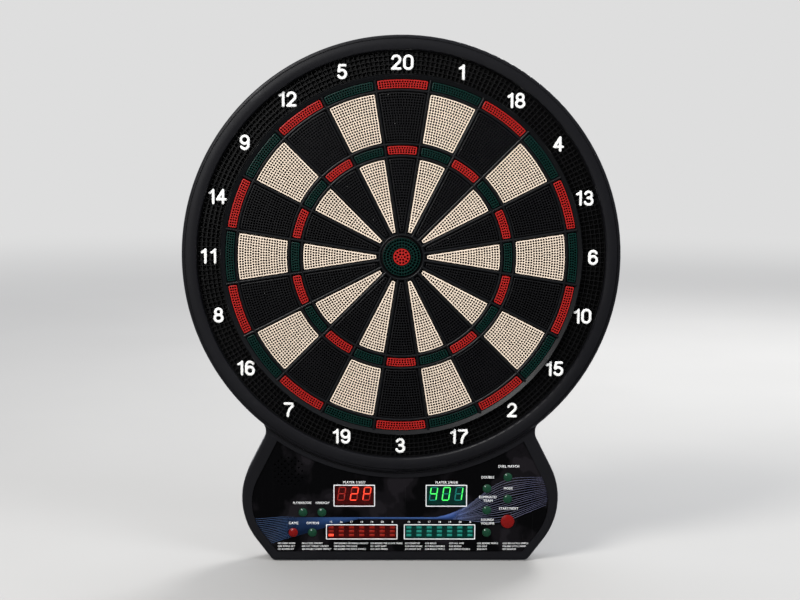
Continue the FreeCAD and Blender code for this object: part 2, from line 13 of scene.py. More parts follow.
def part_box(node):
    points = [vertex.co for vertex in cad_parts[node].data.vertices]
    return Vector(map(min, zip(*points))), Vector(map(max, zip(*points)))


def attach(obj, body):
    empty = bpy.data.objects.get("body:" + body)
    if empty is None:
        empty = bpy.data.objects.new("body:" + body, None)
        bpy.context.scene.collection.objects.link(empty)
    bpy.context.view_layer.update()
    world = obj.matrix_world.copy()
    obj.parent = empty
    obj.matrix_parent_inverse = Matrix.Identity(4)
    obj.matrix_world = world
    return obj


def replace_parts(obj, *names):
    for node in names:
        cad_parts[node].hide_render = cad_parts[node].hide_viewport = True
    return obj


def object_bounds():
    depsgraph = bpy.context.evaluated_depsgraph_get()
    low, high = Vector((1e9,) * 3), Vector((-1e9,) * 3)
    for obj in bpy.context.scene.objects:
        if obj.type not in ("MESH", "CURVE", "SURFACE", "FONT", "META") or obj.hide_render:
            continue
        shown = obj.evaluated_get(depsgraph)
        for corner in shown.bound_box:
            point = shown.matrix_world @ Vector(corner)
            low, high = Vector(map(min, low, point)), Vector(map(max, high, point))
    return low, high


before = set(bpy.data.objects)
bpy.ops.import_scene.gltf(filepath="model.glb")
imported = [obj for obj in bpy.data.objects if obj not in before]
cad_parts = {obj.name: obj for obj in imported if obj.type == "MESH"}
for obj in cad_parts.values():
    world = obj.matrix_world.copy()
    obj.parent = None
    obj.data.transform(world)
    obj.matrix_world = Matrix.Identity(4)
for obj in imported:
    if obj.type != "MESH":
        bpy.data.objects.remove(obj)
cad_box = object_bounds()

MM = 0.001
TAU = 2 * math.pi


def front_of(node):
    return -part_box(node)[0][1] / MM


def back_of(node):
    return -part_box(node)[1][1] / MM


def middle_of(node):
    low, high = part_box(node)
    return (low[0] + high[0]) / 2 / MM, (low[2] + high[2]) / 2 / MM


def size_of(node):
    low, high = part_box(node)
    return (high[0] - low[0]) / MM, (high[2] - low[2]) / MM


# ---------------------------------------------------------------- driving dimensions

NUMBERS = [20, 1, 18, 4, 13, 6, 10, 15, 2, 17, 3, 19, 7, 16, 8, 11, 14, 9, 12, 5]  # clockwise from the top
SECTOR = math.radians(18)
SIDE_GAP = 2.25  # from a sector's edge to the side wall of its keys
BANDS = {  # inner radius, outer radius, rows of dart holes
    "inner_single": (24.75, 95.8, 27), "treble": (100.05, 107.9, 3),
    "outer_single": (111.97, 159.3, 18), "double": (163.3, 171.45, 3)}
KEY_FRONT, KEY_BACK = front_of("segments_01"), back_of("segments_01")
FLANGE_FRONT, FLANGE = KEY_BACK + 1.5, 1.05  # the flange behind a key's face, and how far it stands out
PANEL_FRONT = front_of("console_overlay")
RING_FRONT, RING_BACK = front_of("catch_ring"), back_of("catch_ring")
CATCH_R = (176.9, 199.3)  # inner and outer radius of the catch ring
NUMERAL_R, NUMERAL_SHIFT = 187.8, -0.4  # numbers on the catch ring: radius, and shift along x
INK = 0.05  # height of printed ink
LINE_INK = 1.9 * INK  # lines printed over another ink reach this high


# ---------------------------------------------------------------- mesh making

class Skin:
    """A closed surface being put together: blocks of points, and triangles between their numbers."""

    def __init__(self):
        self.points, self.triangles, self.count = [], [], 0

    def add(self, x, z, d):
        """Adds points at x, z and depth d, and returns their numbers in the same array shape."""
        x, z, d = np.broadcast_arrays(np.asarray(x, float), z, d)
        self.points.append(np.stack([x.ravel(), -d.ravel(), z.ravel()], 1) * MM)
        ids = self.count + np.arange(x.size).reshape(x.shape)
        self.count += x.size
        return ids

    def polar(self, r, angle, d):
        """Adds points at a radius and a clockwise angle from the top."""
        return self.add(r * np.sin(angle), r * np.cos(angle), d)

    def zip(self, a, b):
        """Joins two rows of points that run side by side (last axis), also where their lengths differ.

        Both rows are walked from 0 to 1 by share of their length; each step makes one triangle with the point
        that the other row has reached. Seen from outside, b lies to the left of a's direction."""
        n, m = a.shape[-1] - 1, b.shape[-1] - 1
        steps = np.concatenate([np.arange(1, n + 1) / n, np.arange(1, m + 1) / m + 1e-9])
        on_a = np.argsort(steps, kind="stable") < n
        i, j = np.cumsum(on_a), np.cumsum(~on_a)
        corners = [a[..., i - on_a], np.where(on_a, a[..., i], b[..., j]), b[..., j - ~on_a]]
        self.triangles.append(np.stack(np.broadcast_arrays(*corners), -1).reshape(-1, 3))

    def fan(self, loop, centre):
        """Fills each closed loop (last axis, first point repeated at its end) with triangles to a centre."""
        a, b = loop[..., :-1], loop[..., 1:]
        centre = np.broadcast_to(np.asarray(centre)[..., None], a.shape)
        self.triangles.append(np.stack([a, b, centre], -1).reshape(-1, 3))

    def arrays(self):
        return np.concatenate(self.points), np.concatenate(self.triangles)


def piece(name, points, triangles, finish, body, slot, smooth=None):
    """A mesh object at the origin from whole arrays, riding on a body."""
    mesh = bpy.data.meshes.new(name)
    mesh.vertices.add(len(points))
    mesh.vertices.foreach_set("co", np.asarray(points, np.float32).ravel())
    mesh.loops.add(triangles.size)
    mesh.loops.foreach_set("vertex_index", triangles.astype(np.int32).ravel())
    mesh.polygons.add(len(triangles))
    mesh.polygons.foreach_set("loop_start", np.arange(0, triangles.size, 3, dtype=np.int32))
    mesh.update(calc_edges=True)
    if smooth is not None:
        mesh.shade_smooth()
        mesh.set_sharp_from_angle(angle=math.radians(smooth))
    obj = bpy.data.objects.new(name, mesh)
    bpy.context.scene.collection.objects.link(obj)
    mesh.materials.append(finish)
    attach(obj, body)
    return obj


def closed(loop):
    """A loop's numbers with the first one repeated at the end."""
    return np.concatenate([loop, loop[..., :1]], -1)


def turned(points, clockwise):
    """Points turned about the bull's axis, clockwise as seen from the front."""
    c, s = math.cos(clockwise), math.sin(clockwise)
    x, y, z = points.T
    return np.stack([x * c + z * s, y, z * c - x * s], 1)


# ---------------------------------------------------------------- target keys

HOLE_DEPTH = 11.0
HOLE_PITCH = 2.55
HOLE_SHARE, HOLE_MOST = 0.42, 1.05  # half a hole's size as a share of its cell, and at most
HOLE_TURN = np.arange(8) * TAU / 8
HOLE_ROUND = np.where(np.arange(8) % 2, 1.22, 1.0)  # a square hole with rounded corners
HOLE_RINGS = [(0.95, 0.12), (0.90, HOLE_DEPTH)]  # share of the mouth's size, and depth below the face
KEY_RIM, ROW_SEAM = 0.8, 0.2  # frame round a face, and strip between rows of cells
CORNER_CUT = 0.22  # rounding of a key's four corners
KEY_EDGE = (  # a key's side from face to back: inset from its outline, depth
    (0.34, KEY_FRONT), (0.1, KEY_FRONT - 0.1), (0.0, KEY_FRONT - 0.34), (0.0, FLANGE_FRONT),
    (-FLANGE, FLANGE_FRONT), (-FLANGE, KEY_BACK))


def hole_row(skin, r0, r1, low_span, high_span, n, parts, hole, wrap=False):
    """One row of n cells between two radii, each with a dart hole sunk in it.

    A point of the row lies at radius r and a clockwise angle from -span to +span (a full turn if it wraps).
    Each cell's inner and outer edge is split into parts. A hole is eight points about its cell's centre,
    drawn in to a funnel and on down to a flat floor."""
    t = np.linspace(-1, 1, n * parts + 1)
    edges = []
    for r, span in ((r0, low_span), (r1, high_span)):
        angle = t[:-1] * span if wrap else t * span
        ids = skin.polar(r, angle, KEY_FRONT)
        edges.append(closed(ids) if wrap else ids)
    low, high = edges
    cells = np.arange(n)[:, None] * parts + np.arange(parts + 1)
    below, above = low[cells], high[cells][:, ::-1]
    angle = (t[:-1:parts] + t[parts::parts]) / 2 * (low_span + high_span) / 2
    r = (r0 + r1) / 2
    cx, cz = r * np.sin(angle), r * np.cos(angle)
    across, up = np.cos(HOLE_TURN) * HOLE_ROUND * hole, np.sin(HOLE_TURN) * HOLE_ROUND * hole
    dx = across * np.cos(angle)[:, None] + up * np.sin(angle)[:, None]
    dz = up * np.cos(angle)[:, None] - across * np.sin(angle)[:, None]
    ring = skin.add(cx[:, None] + dx, cz[:, None] + dz, KEY_FRONT)
    skin.zip(below, ring[:, [5, 6, 7]])
    skin.zip(np.stack([below[:, -1], above[:, 0]], 1), ring[:, [7, 0, 1]])
    skin.zip(above, ring[:, [1, 2, 3]])
    skin.zip(np.stack([above[:, -1], below[:, 0]], 1), ring[:, [3, 4, 5]])
    for share, depth in HOLE_RINGS:
        deeper = skin.add(cx[:, None] + dx * share, cz[:, None] + dz * share, KEY_FRONT - depth)
        skin.zip(closed(ring), closed(deeper))
        ring = deeper
    skin.fan(closed(ring), skin.add(cx, cz, KEY_FRONT - HOLE_DEPTH))
    return low, high


def key(r0, r1, rows):
    """One segment of the target about the +z direction.

    Rows of holes lie at even radii, and each row holds as many as fit its width. The face is framed by a rim
    that rolls over into the side walls; the walls step out to the flange and end in a flat back."""
    skin = Skin()
    g0, g1 = r0 + KEY_RIM, r1 - KEY_RIM
    pitch = (g1 - g0 + ROW_SEAM) / rows
    half = lambda r, inset: SECTOR / 2 - np.arcsin((SIDE_GAP + inset) / r)
    lows, highs, lower, upper = [], [], [], []
    for j in range(rows):
        a, b = g0 + j * pitch, g0 + (j + 1) * pitch - ROW_SEAM
        middle = (a + b) / 2
        width = 2 * half(middle, KEY_RIM) * middle
        n = max(1, round(width / HOLE_PITCH))
        hole = min(HOLE_MOST, HOLE_SHARE * min(width / n, b - a + ROW_SEAM))
        low, high = hole_row(skin, a, b, half(a, KEY_RIM), half(b, KEY_RIM), n, 1, hole)
        if highs:
            skin.zip(highs[-1], low)
        lows.append(low), highs.append(high), lower.append(a), upper.append(b)
    sides = np.stack([lower, upper], 1).ravel()
    right = np.array([[a[-1], b[-1]] for a, b in zip(lows, highs)]).ravel()
    left = np.array([[a[0], b[0]] for a, b in zip(lows, highs)]).ravel()
    loop = np.concatenate([lows[0], right[1:], highs[-1][::-1][1:], left[::-1][1:-1]])
    reach = lambda ids: np.linspace(-1, 1, len(ids))
    r = np.concatenate([np.full(len(lows[0]), g0), sides[1:],
                        np.full(len(highs[-1]) - 1, g1), sides[::-1][1:-1]])
    s = np.concatenate([reach(lows[0]), np.ones(len(sides) - 1), reach(highs[-1])[::-1][1:],
                        -np.ones(len(sides) - 2)])
    corner = (np.abs(s) == 1) & (np.isclose(r, g0) | np.isclose(r, g1))
    for inset, depth in KEY_EDGE:
        pull = inset + CORNER_CUT * corner
        radius = r0 + pull + (r - g0) * (r1 - r0 - 2 * pull) / (g1 - g0)
        angle = s * half(radius, pull)
        outer = skin.polar(radius, angle, depth)
        skin.zip(closed(outer), closed(loop))
        loop = outer
    back = skin.add(0.0, (r0 + r1) / 2, KEY_BACK)
    skin.fan(closed(loop)[::-1], back)
    return skin.arrays()


def circle(skin, r, d, n=96):
    """A closed ring of n points about the bull's axis."""
    angle = np.linspace(-math.pi, math.pi, n, endpoint=False)
    return closed(skin.polar(r, angle, d))


def lathe(skin, start, profile, end=None):
    """Carries a closed loop along a profile of (radius, depth) corners, each turned into a circle."""
    for r, d in profile:
        after = circle(skin, r, d)
        skin.zip(start, after)
        start = after
    if end is not None:
        skin.zip(start, end)
    return start


BULL_OUTER_ROWS = (  # inner radius, outer radius, holes, parts of a cell's edge, half size of a hole
    (9.4, 12.0, 24, 3, 1.08), (12.1, 15.1, 30, 3, 1.22), (15.2, 18.2, 40, 3, 1.16))
BULL_INNER_ROWS = ((1.65, 4.4, 6, 6, 1.05), (4.5, 7.5, 12, 3, 1.05))
BULL_STEP = KEY_BACK + 3.1  # the outer bull's bore widens behind this depth
BULL_OUTER_SIDE = (  # radius, depth, from the face over the outside and the back to the bore
    (18.3, KEY_FRONT), (18.5, KEY_FRONT - 1.0), (19.8, KEY_FRONT - 1.2), (19.8, FLANGE_FRONT),
    (20.85, FLANGE_FRONT), (20.85, KEY_BACK), (10.8, KEY_BACK), (10.8, BULL_STEP), (9.0, BULL_STEP),
    (9.0, KEY_FRONT - 0.3), (9.25, KEY_FRONT))
BULL_INNER_SIDE = (
    (7.9, KEY_FRONT), (8.1, KEY_FRONT - 0.2), (8.3, KEY_FRONT - 0.9), (8.7, KEY_FRONT - 1.1),
    (8.7, FLANGE_FRONT), (10.4, FLANGE_FRONT), (10.4, KEY_BACK))
CENTRE_HOLE = 0.8


def bull_rows(skin, rows):
    """Full rings of holes, joined to each other; returns the innermost and the outermost edge."""
    edges = [hole_row(skin, a, b, math.pi, math.pi, *cells, wrap=True) for a, b, *cells in rows]
    for (_, high), (low, _) in zip(edges, edges[1:]):
        skin.zip(high, low)
    return edges[0][0], edges[-1][1]


def bull_outer():
    """Ring-shaped key: three rows of holes, a stepped shoulder, a flange and a stepped bore."""
    skin = Skin()
    inside, outside = bull_rows(skin, BULL_OUTER_ROWS)
    lathe(skin, outside, BULL_OUTER_SIDE, inside)
    return skin.arrays()


def bull_inner():
    """Round key: a middle hole and two rings of holes, a stepped shoulder, a flange and a flat back."""
    skin = Skin()
    inside, outside = bull_rows(skin, BULL_INNER_ROWS)
    mouth = circle(skin, CENTRE_HOLE, KEY_FRONT, 12)
    skin.zip(mouth, inside)
    for share, depth in HOLE_RINGS:
        deeper = circle(skin, CENTRE_HOLE * share, KEY_FRONT - depth, 12)
        skin.zip(deeper, mouth)
        mouth = deeper
    skin.fan(mouth[::-1], skin.add(0.0, 0.0, KEY_FRONT - HOLE_DEPTH))
    skin.fan(lathe(skin, outside, BULL_INNER_SIDE), skin.add(0.0, 0.0, KEY_BACK))
    return skin.arrays()


# ---------------------------------------------------------------- number ring

CATCH_CELLS, CATCH_ROWS = 260, 5
CATCH_BORDER, CATCH_ROLL = 0.4, 0.3  # plain border inside and outside the cells, and its rolled edge
HALF_WALL = 0.275  # half the thickness of the walls between pockets
POCKET = ((HALF_WALL - 0.08, 0.0), (HALF_WALL, 0.12), (HALF_WALL + 0.2, 6.0))  # inset from its cell, depth


def catch_ring():
    """Ring moulded as a lattice of square pockets: cells at even angles and radii, sunk to flat floors."""
    skin = Skin()
    r0, r1 = CATCH_R
    radii = np.linspace(r0 + CATCH_BORDER, r1 - CATCH_BORDER, CATCH_ROWS + 1)[:, None]
    angle = np.linspace(0, TAU, CATCH_CELLS, endpoint=False)[None, :]
    step = TAU / CATCH_CELLS
    grid = closed(skin.polar(radii, angle, RING_FRONT))
    loop = np.stack([grid[:-1, :-1], grid[:-1, 1:], grid[1:, 1:], grid[1:, :-1]], -1)
    for inset, depth in POCKET:
        low, high = radii[:-1] + inset, radii[1:] - inset
        r = np.stack([low, low, high, high], -1)
        a = np.stack([angle, angle + step, angle + step, angle], -1) \
            + np.array([1, -1, -1, 1]) * inset / ((r0 + r1) / 2)
        inner = skin.polar(r, a, RING_FRONT - depth)
        skin.zip(closed(loop), closed(inner))
        loop = inner
    skin.triangles.append(loop[..., [0, 1, 2]].reshape(-1, 3))
    skin.triangles.append(loop[..., [0, 2, 3]].reshape(-1, 3))
    last = grid[-1]
    roll = RING_FRONT - CATCH_ROLL
    for r, d in ((r1, roll), (r1, RING_BACK), (r0, RING_BACK), (r0, roll)):
        after = closed(skin.polar(r, angle[0], d))
        skin.zip(last, after)
        last = after
    skin.zip(last, grid[0])
    return skin.arrays()


# ---------------------------------------------------------------- strokes

def arc(cx, cy, rx, ry, start, end, step=12):
    """Points of an elliptical arc, in degrees, anticlockwise where end is greater than start."""
    a = np.radians(np.linspace(start, end, max(2, int(abs(end - start) / step) + 1)))
    return np.stack([cx + rx * np.cos(a), cy + ry * np.sin(a)], 1)


def path(*stretches):
    return np.concatenate([np.atleast_2d(np.asarray(s, float)) for s in stretches])


# Centre lines of the numerals, in a box 7.5 wide and 12.5 tall about its middle
DIGITS = {
    "0": [path(arc(0, 2.5, 3.75, 3.75, 0, 180), arc(0, -2.5, 3.75, 3.75, 180, 360), [(3.75, 2.5)])],
    "1": [path([(-2.3, 3.7), (0.0, 4.9)], arc(-1.1, 6.2, 2.1, 2.1, -40, 0, 20)[1:], [(1.0, -6.25)])],
    "2": [path(arc(0, 2.65, 3.65, 3.6, 168, -38), [(-3.7, -6.1), (3.75, -6.1)])],
    "3": [path(arc(-0.1, 3.2, 3.2, 3.05, 160, -90), [(-0.9, 0.15)], arc(0, -2.95, 3.7, 3.3, 95, -162))],
    "4": [path([(1.7, -6.25), (1.7, 6.1), (-3.9, -2.7), (4.1, -2.7)])],
    "5": [path([(3.2, 6.1), (-2.4, 6.1), (-3.1, 0.3)], arc(0, -2.35, 3.75, 3.75, 128, -155))],
    "6": [path(arc(0.0, 2.5, 3.6, 3.75, 28, 180), [(-3.7, -2.3)], arc(0, -2.55, 3.7, 3.7, 180, 540))],
    "7": [path([(-3.75, 6.1), (3.75, 6.1)], arc(8.2, -6.2, 9.0, 11.0, 118, 180))],
    "8": [path(arc(0, 3.2, 3.1, 3.05, -90, 270)), path(arc(0, -2.95, 3.75, 3.3, 90, 450))],
}
DIGITS["9"] = [-line for line in DIGITS["6"]]
DIGIT_REACH, FULL_REACH = {"1": (-3.7, 2.4)}, (-5.1, 5.1)  # left and right end of a 1, and of other digits
DIGIT_GAP, ELEVEN_GAP = 1.4, 3.4
BEAD_HALF, BEAD_RISE, BEAD_BASE = 1.32, 0.9, RING_FRONT + 0.02  # strokes: half width, height, foot


def bead(skin, line, half, height, base):
    """A rounded bead along a centre line: a flat-topped oval section, round ends and round corners.

    Section: sideways half * cos a, outwards height * (1 - cos a ** 4) ** 0.5, with a from 0 to 180 degrees.
    Towards the ends it shrinks as a half circle does."""
    move = np.diff(line, axis=0)
    heading = np.unwrap(np.arctan2(move[:, 1], move[:, 0]))
    turn = np.abs(np.diff(heading))
    fans = 1 + np.round(turn / math.radians(14)).astype(int)
    place = np.repeat(line[1:-1], fans, axis=0)
    share = np.concatenate([np.zeros(0)] + [np.linspace(0, 1, k) if k > 1 else [0.5] for k in fans])
    facing = np.repeat(heading[:-1], fans) + share * np.repeat(np.diff(heading), fans)
    tip = np.linspace(0, 1, 5)[:-1] * math.pi / 2
    ahead = np.stack([np.cos(heading[[0, -1]]), np.sin(heading[[0, -1]])], 1) * half
    start = line[0] - np.cos(tip)[:, None] * ahead[0]
    end = line[-1] + np.cos(tip)[::-1, None] * ahead[1]
    centre = np.concatenate([start, line[:1], place, line[-1:], end])
    facing = np.concatenate([np.full(5, heading[0]), facing, np.full(5, heading[-1])])
    width = np.concatenate([np.sin(tip), np.ones(len(place) + 2), np.sin(tip)[::-1]])
    width[[0, -1]] = 0.02
    a = np.linspace(0, math.pi, 9)
    side = np.concatenate([np.cos(a), np.cos(a[::-1])])
    rise = np.concatenate([(1 - np.cos(a) ** 4) ** 0.5, np.zeros(9)])
    keep = np.r_[0:9, 10:17]
    side, rise = side[keep] * half, rise[keep] * height
    nx, ny = -np.sin(facing)[:, None], np.cos(facing)[:, None]
    ids = skin.add(centre[:, :1] - nx * side * width[:, None], centre[:, 1:] - ny * side * width[:, None],
                   base + rise * np.sqrt(width)[:, None])
    loops = closed(ids)
    skin.zip(loops[1:], loops[:-1])
    skin.fan(loops[0], skin.add(*centre[0], base))
    skin.fan(loops[-1][::-1], skin.add(*centre[-1], base))


def numeral(number, x, z):
    """A number of one or two digits, upright, about a place on the ring."""
    skin = Skin()
    text = str(number)
    reach = [DIGIT_REACH.get(digit, FULL_REACH) for digit in text]
    gap = ELEVEN_GAP if text == "11" else DIGIT_GAP
    start = reach[0][0]
    if len(text) > 1:
        start = -(sum(high - low for low, high in reach) + gap) / 2
    for digit, (low, high) in zip(text, reach):
        for line in DIGITS[digit]:
            bead(skin, line + [x + start - low, z], BEAD_HALF, BEAD_RISE, BEAD_BASE)
        start += high - low + gap
    return skin.arrays()


def slabs(skin, outlines, low, high):
    """Thin flat prisms: outlines is an array of convex shapes, (shape, corner, x and z), anticlockwise."""
    outlines = np.asarray(outlines, float)
    top = skin.add(outlines[..., 0], outlines[..., 1], high)
    base = skin.add(outlines[..., 0], outlines[..., 1], low)
    skin.zip(closed(base), closed(top))
    for k in range(1, outlines.shape[1] - 1):
        skin.triangles.append(top[:, [0, k, k + 1]])
        skin.triangles.append(base[:, [0, k + 1, k]])


def ribbon(skin, x, z, half, low, high):
    """Thin flat band about a centre line through points x, z. half is half its width, also along the line."""
    dx, dz = np.gradient(x), np.gradient(z)
    size = np.hypot(dx, dz)
    nx, nz = -dz / size * half, dx / size * half
    loops = closed(skin.add(np.stack([x - nx, x - nx, x + nx, x + nx], 1),
                            np.stack([z - nz, z - nz, z + nz, z + nz], 1), np.array([low, high, high, low])))
    skin.zip(loops[1:], loops[:-1])
    for end in (loops[0], loops[-1][::-1]):
        skin.triangles += [end[None, [0, 1, 2]], end[None, [0, 2, 3]]]


def bezel_line(skin, centre, size, line, corner, low, high):
    """Thin frame round a window: two rounded rectangles, line apart, closed into a flat ring."""
    turn = np.radians(np.concatenate([np.linspace(a, a + 90, 6) for a in (0, 90, 180, 270)]))
    side = np.repeat([[1, 1], [-1, 1], [-1, -1], [1, -1]], 6, axis=0)
    loops = []
    for inset, depth in ((0, low), (0, high), (line, high), (line, low)):
        half = size / 2 - inset
        r = max(corner - inset, 0.15)
        x = centre[0] + side[:, 0] * (half[0] - r) + r * np.cos(turn)
        z = centre[1] + side[:, 1] * (half[1] - r) + r * np.sin(turn)
        loops.append(closed(skin.add(x, z, depth)))
    for a, b in zip(loops, loops[1:] + loops[:1]):
        skin.zip(a, b)


# ---------------------------------------------------------------- displays and print

SEGMENT_ENDS = {  # of a seven-bar digit, in shares of its half width and half height
    "a": ((-1, 1), (1, 1)), "b": ((1, 1), (1, 0)), "c": ((1, 0), (1, -1)), "d": ((-1, -1), (1, -1)),
    "e": ((-1, 0), (-1, -1)), "f": ((-1, 1), (-1, 0)), "g": ((-1, 0), (1, 0))}
LIT = {"2": "abged", "P": "abgef", "4": "fgbc", "0": "abcdef", "1": "bc", " ": ""}
DIGIT_HALF, DIGIT_STROKE, DIGIT_SLANT, DIGIT_PITCH = (3.25, 6.45), 0.52, math.tan(math.radians(8)), 12.6
DIGIT_Z = 1.3  # digits sit this far above the window's middle
DIGIT_TIP_GAP = 0.16  # from a bar's tip to the corner where two bars meet
BAR, BAR_PITCH, BAR_RISE = (5.0, 2.4), (10.2, 4.0), 0.15


def digit_bars(x, z, letters):
    """Six-sided bars of a slanted seven-bar digit: pointed ends, mitred where they meet."""
    half, t, gap = np.array(DIGIT_HALF), DIGIT_STROKE, DIGIT_TIP_GAP
    shapes = []
    for letter in letters:
        p, q = (np.array(end) * half for end in SEGMENT_ENDS[letter])
        u = (q - p) / np.hypot(*(q - p))
        n = np.array([-u[1], u[0]])
        shapes.append([p + u * gap, p + u * (gap + t) - n * t, q - u * (gap + t) - n * t,
                       q - u * gap, q - u * (gap + t) + n * t, p + u * (gap + t) + n * t])
    shapes = np.array(shapes)
    shapes[..., 0] += shapes[..., 1] * DIGIT_SLANT
    return shapes + [x, z]


def glowing(name, state, colour, shapes, face):
    """One piece of thin bars standing on a display's face."""
    skin = Skin()
    slabs(skin, shapes, face, face + BAR_RISE)
    piece(f"{name}_{state}", *skin.arrays(), FINISH[f"{colour}_{state}"], "board", f"led_{colour}")


def display(side, text, colour, lit_bar):
    """Digits and score bars behind one side's two windows, unlit and lit ones as separate pieces. The bars
    that are not lit get a painted glow from their finish.
    """
    x, z = middle_of(f"score_window_{side}")
    places = [(x + (k - 1) * DIGIT_PITCH, z + DIGIT_Z) for k in range(len(text))]
    lit = [LIT[digit] for digit in text]
    unlit = [[bar for bar in SEGMENT_ENDS if bar not in bars] for bars in lit]
    for state, digits in (("lit", lit), ("unlit", unlit)):
        shapes = [digit_bars(*place, bars) for place, bars in zip(places, digits) if bars]
        glowing(f"score_digits_{side}", state, colour, np.concatenate(shapes), front_of(f"led_digits_{side}"))
    x, z = middle_of(f"cricket_window_{side}")
    column, row = np.meshgrid(np.arange(7) - 3, np.arange(3) - 1, indexing="ij")
    centres = np.stack([x + column.ravel() * BAR_PITCH[0], z + row.ravel() * BAR_PITCH[1]], 1)
    w, h = BAR[0] / 2, BAR[1] / 2
    bars = centres[:, None] + [(-w, -h), (w, -h), (w, h), (-w, h)]
    on = np.arange(len(bars)) == (0 if lit_bar else -1)
    for state, chosen in (("lit", on), ("dim", ~on)):
        if chosen.any():
            glowing(f"score_bars_{side}", state, colour, bars[chosen], front_of(f"led_bars_{side}"))


LETTER_INK = 2.2 * INK
LETTER_SPACE = 1.08


def word(text, x, z, height, width=None, anchor=0.5):
    """Points and triangles of printed capitals: each letter's outline, filled, as a thin closed solid.

    The word's middle sits at x, z (anchor 0.5), or it starts there (anchor 0). A width stretches it."""
    curve = bpy.data.curves.new("word", "FONT")
    curve.body, curve.extrude, curve.resolution_u = text, 0.01, 2
    curve.space_character = LETTER_SPACE
    holder = bpy.data.objects.new("word", curve)
    mesh = bpy.data.meshes.new_from_object(holder)
    mesh.calc_loop_triangles()
    local = np.zeros(len(mesh.vertices) * 3, np.float32)
    mesh.vertices.foreach_get("co", local)
    triangles = np.zeros(len(mesh.loop_triangles) * 3, np.int32)
    mesh.loop_triangles.foreach_get("vertices", triangles)
    bpy.data.objects.remove(holder), bpy.data.curves.remove(curve), bpy.data.meshes.remove(mesh)
    local, same = np.unique(local.reshape(-1, 3).round(5), axis=0, return_inverse=True)
    low, high = local.min(0), local.max(0)
    scale = height / (high[1] - low[1])
    stretch = width / (high[0] - low[0]) if width else scale
    across = x + (local[:, 0] - low[0] - anchor * (high[0] - low[0])) * stretch
    up = z + (local[:, 1] - (low[1] + high[1]) / 2) * scale
    depth = PANEL_FRONT + np.where(local[:, 2] > 0, LETTER_INK, 0.0)
    return np.stack([across, -depth, up], 1) * MM, same.ravel()[triangles].reshape(-1, 3)


def joined(parts):
    """Several sets of points and triangles as one."""
    shifts = np.cumsum([0] + [len(points) for points, _ in parts[:-1]])
    return (np.concatenate([points for points, _ in parts]),
            np.concatenate([triangles + shift for (_, triangles), shift in zip(parts, shifts)]))


LABELS = [  # words, x, z, height, width
    ("PLAYER 1/3/5/7", -45.8, -224.9, 2.5, 22), ("PLAYER 2/4/6/8", 45.8, -224.9, 2.5, 22),
    ("PLAYER/SCORE", -97.6, -245.8, 2.3, 18.2), ("HANDICAP", -77.4, -245.8, 2.3, 13.4),
    ("GAME", -106.3, -266.4, 2.6, 9.2), ("OPTION", -87.2, -266.4, 2.6, 12.2),
    ("DUEL MATCH", 107.5, -208.5, 2.5, 20.5), ("DOUBLE", 86.8, -219.6, 2.6, 12.6),
    ("MODE", 107.4, -230.8, 2.4, 8.6), ("ELIMINATE/", 87.2, -239.7, 2.5, 17.4),
    ("TEAM", 87.2, -243.4, 2.5, 9.2), ("START/NEXT", 108.0, -251.4, 2.6, 19.0),
    ("SOUND/", 87.0, -262.9, 2.4, 12.6), ("VOLUME", 87.2, -266.6, 2.4, 13.4)]
LEGEND = [  # list of games, numbered in this order: left edge, three rows
    (-122, ("COUNT DOWN", "SIMPLE SET", "ROUND SET")),
    (-98, ("SCORE CRICKET", "CUT THROAT CRICKET", "DOUBLE SCORE CRICKET")),
    (-66, ("DOUBLE OR SINGLE CRICKET", "ROUND THE CLOCK", "ROUND THE CLOCK DOUBLE")),
    (-29.5, ("ROUND THE CLOCK TRIPLE", "LAST DART", "LAST ORDER")),
    (5, ("COUNT UP", "HIGH SCORE", "SHOOT OUT")),
    (25, ("BULLS", "BULLS DOUBLE", "BULLS TRIPLE")),
    (49, ("ALL FIVE", "SEVENS", "SEVENS DOUBLE")),
    (77, ("SEVENS TRIPLE", "GOLF", "RACE")),
    (102.5, ("BIG LITTLE SIMPLE", "BIG LITTLE HARD", "SNOOKER"))]
LEGEND_Z, LEGEND_LINE, LEGEND_SIZE = -287.0, 3.0, (1.22, 1.6)  # top row, line pitch, letter width and height
COLUMN_NAMES, COLUMN_Z, COLUMN_SIZE = ("15", "16", "17", "18", "19", "20", "B"), -265.2, 1.9
STRIKE = np.array((0.13, -0.02, 0.0)) * MM  # each letter is printed twice, so that its strokes are bold


def panel_lettering():
    """Button names, column names and the list of games, printed in white capitals."""
    parts = [word(*label) for label in LABELS]
    for side in ("left", "right"):
        x, _ = middle_of(f"cricket_window_{side}")
        parts += [word(name, x + (k - 3) * BAR_PITCH[0], COLUMN_Z, COLUMN_SIZE)
                  for k, name in enumerate(COLUMN_NAMES)]
    wide, tall = LEGEND_SIZE
    for column, (x, games) in enumerate(LEGEND):
        for k, game in enumerate(games):
            row = f"G{3 * column + k + 1:02d} {game}"
            parts.append(word(row, x, LEGEND_Z - LEGEND_LINE * k, tall, wide * len(row), 0))
    parts += [(points + STRIKE, triangles) for points, triangles in parts]
    return joined(parts)


FRAME_GROW, FRAME_CORNER = 2.3, 0.8  # a printed frame against its window, and its corner radius
FRAME_LINES = {"score_window": 1.0, "cricket_window": 0.95}


def window_frames():
    """White printed frames round the four windows."""
    skin = Skin()
    for node, line in FRAME_LINES.items():
        for side in ("left", "right"):
            size = np.array(size_of(f"{node}_{side}")) + FRAME_GROW
            bezel_line(skin, middle_of(f"{node}_{side}"), size, line, FRAME_CORNER, PANEL_FRONT,
                       PANEL_FRONT + 2 * INK)
    return skin.arrays()


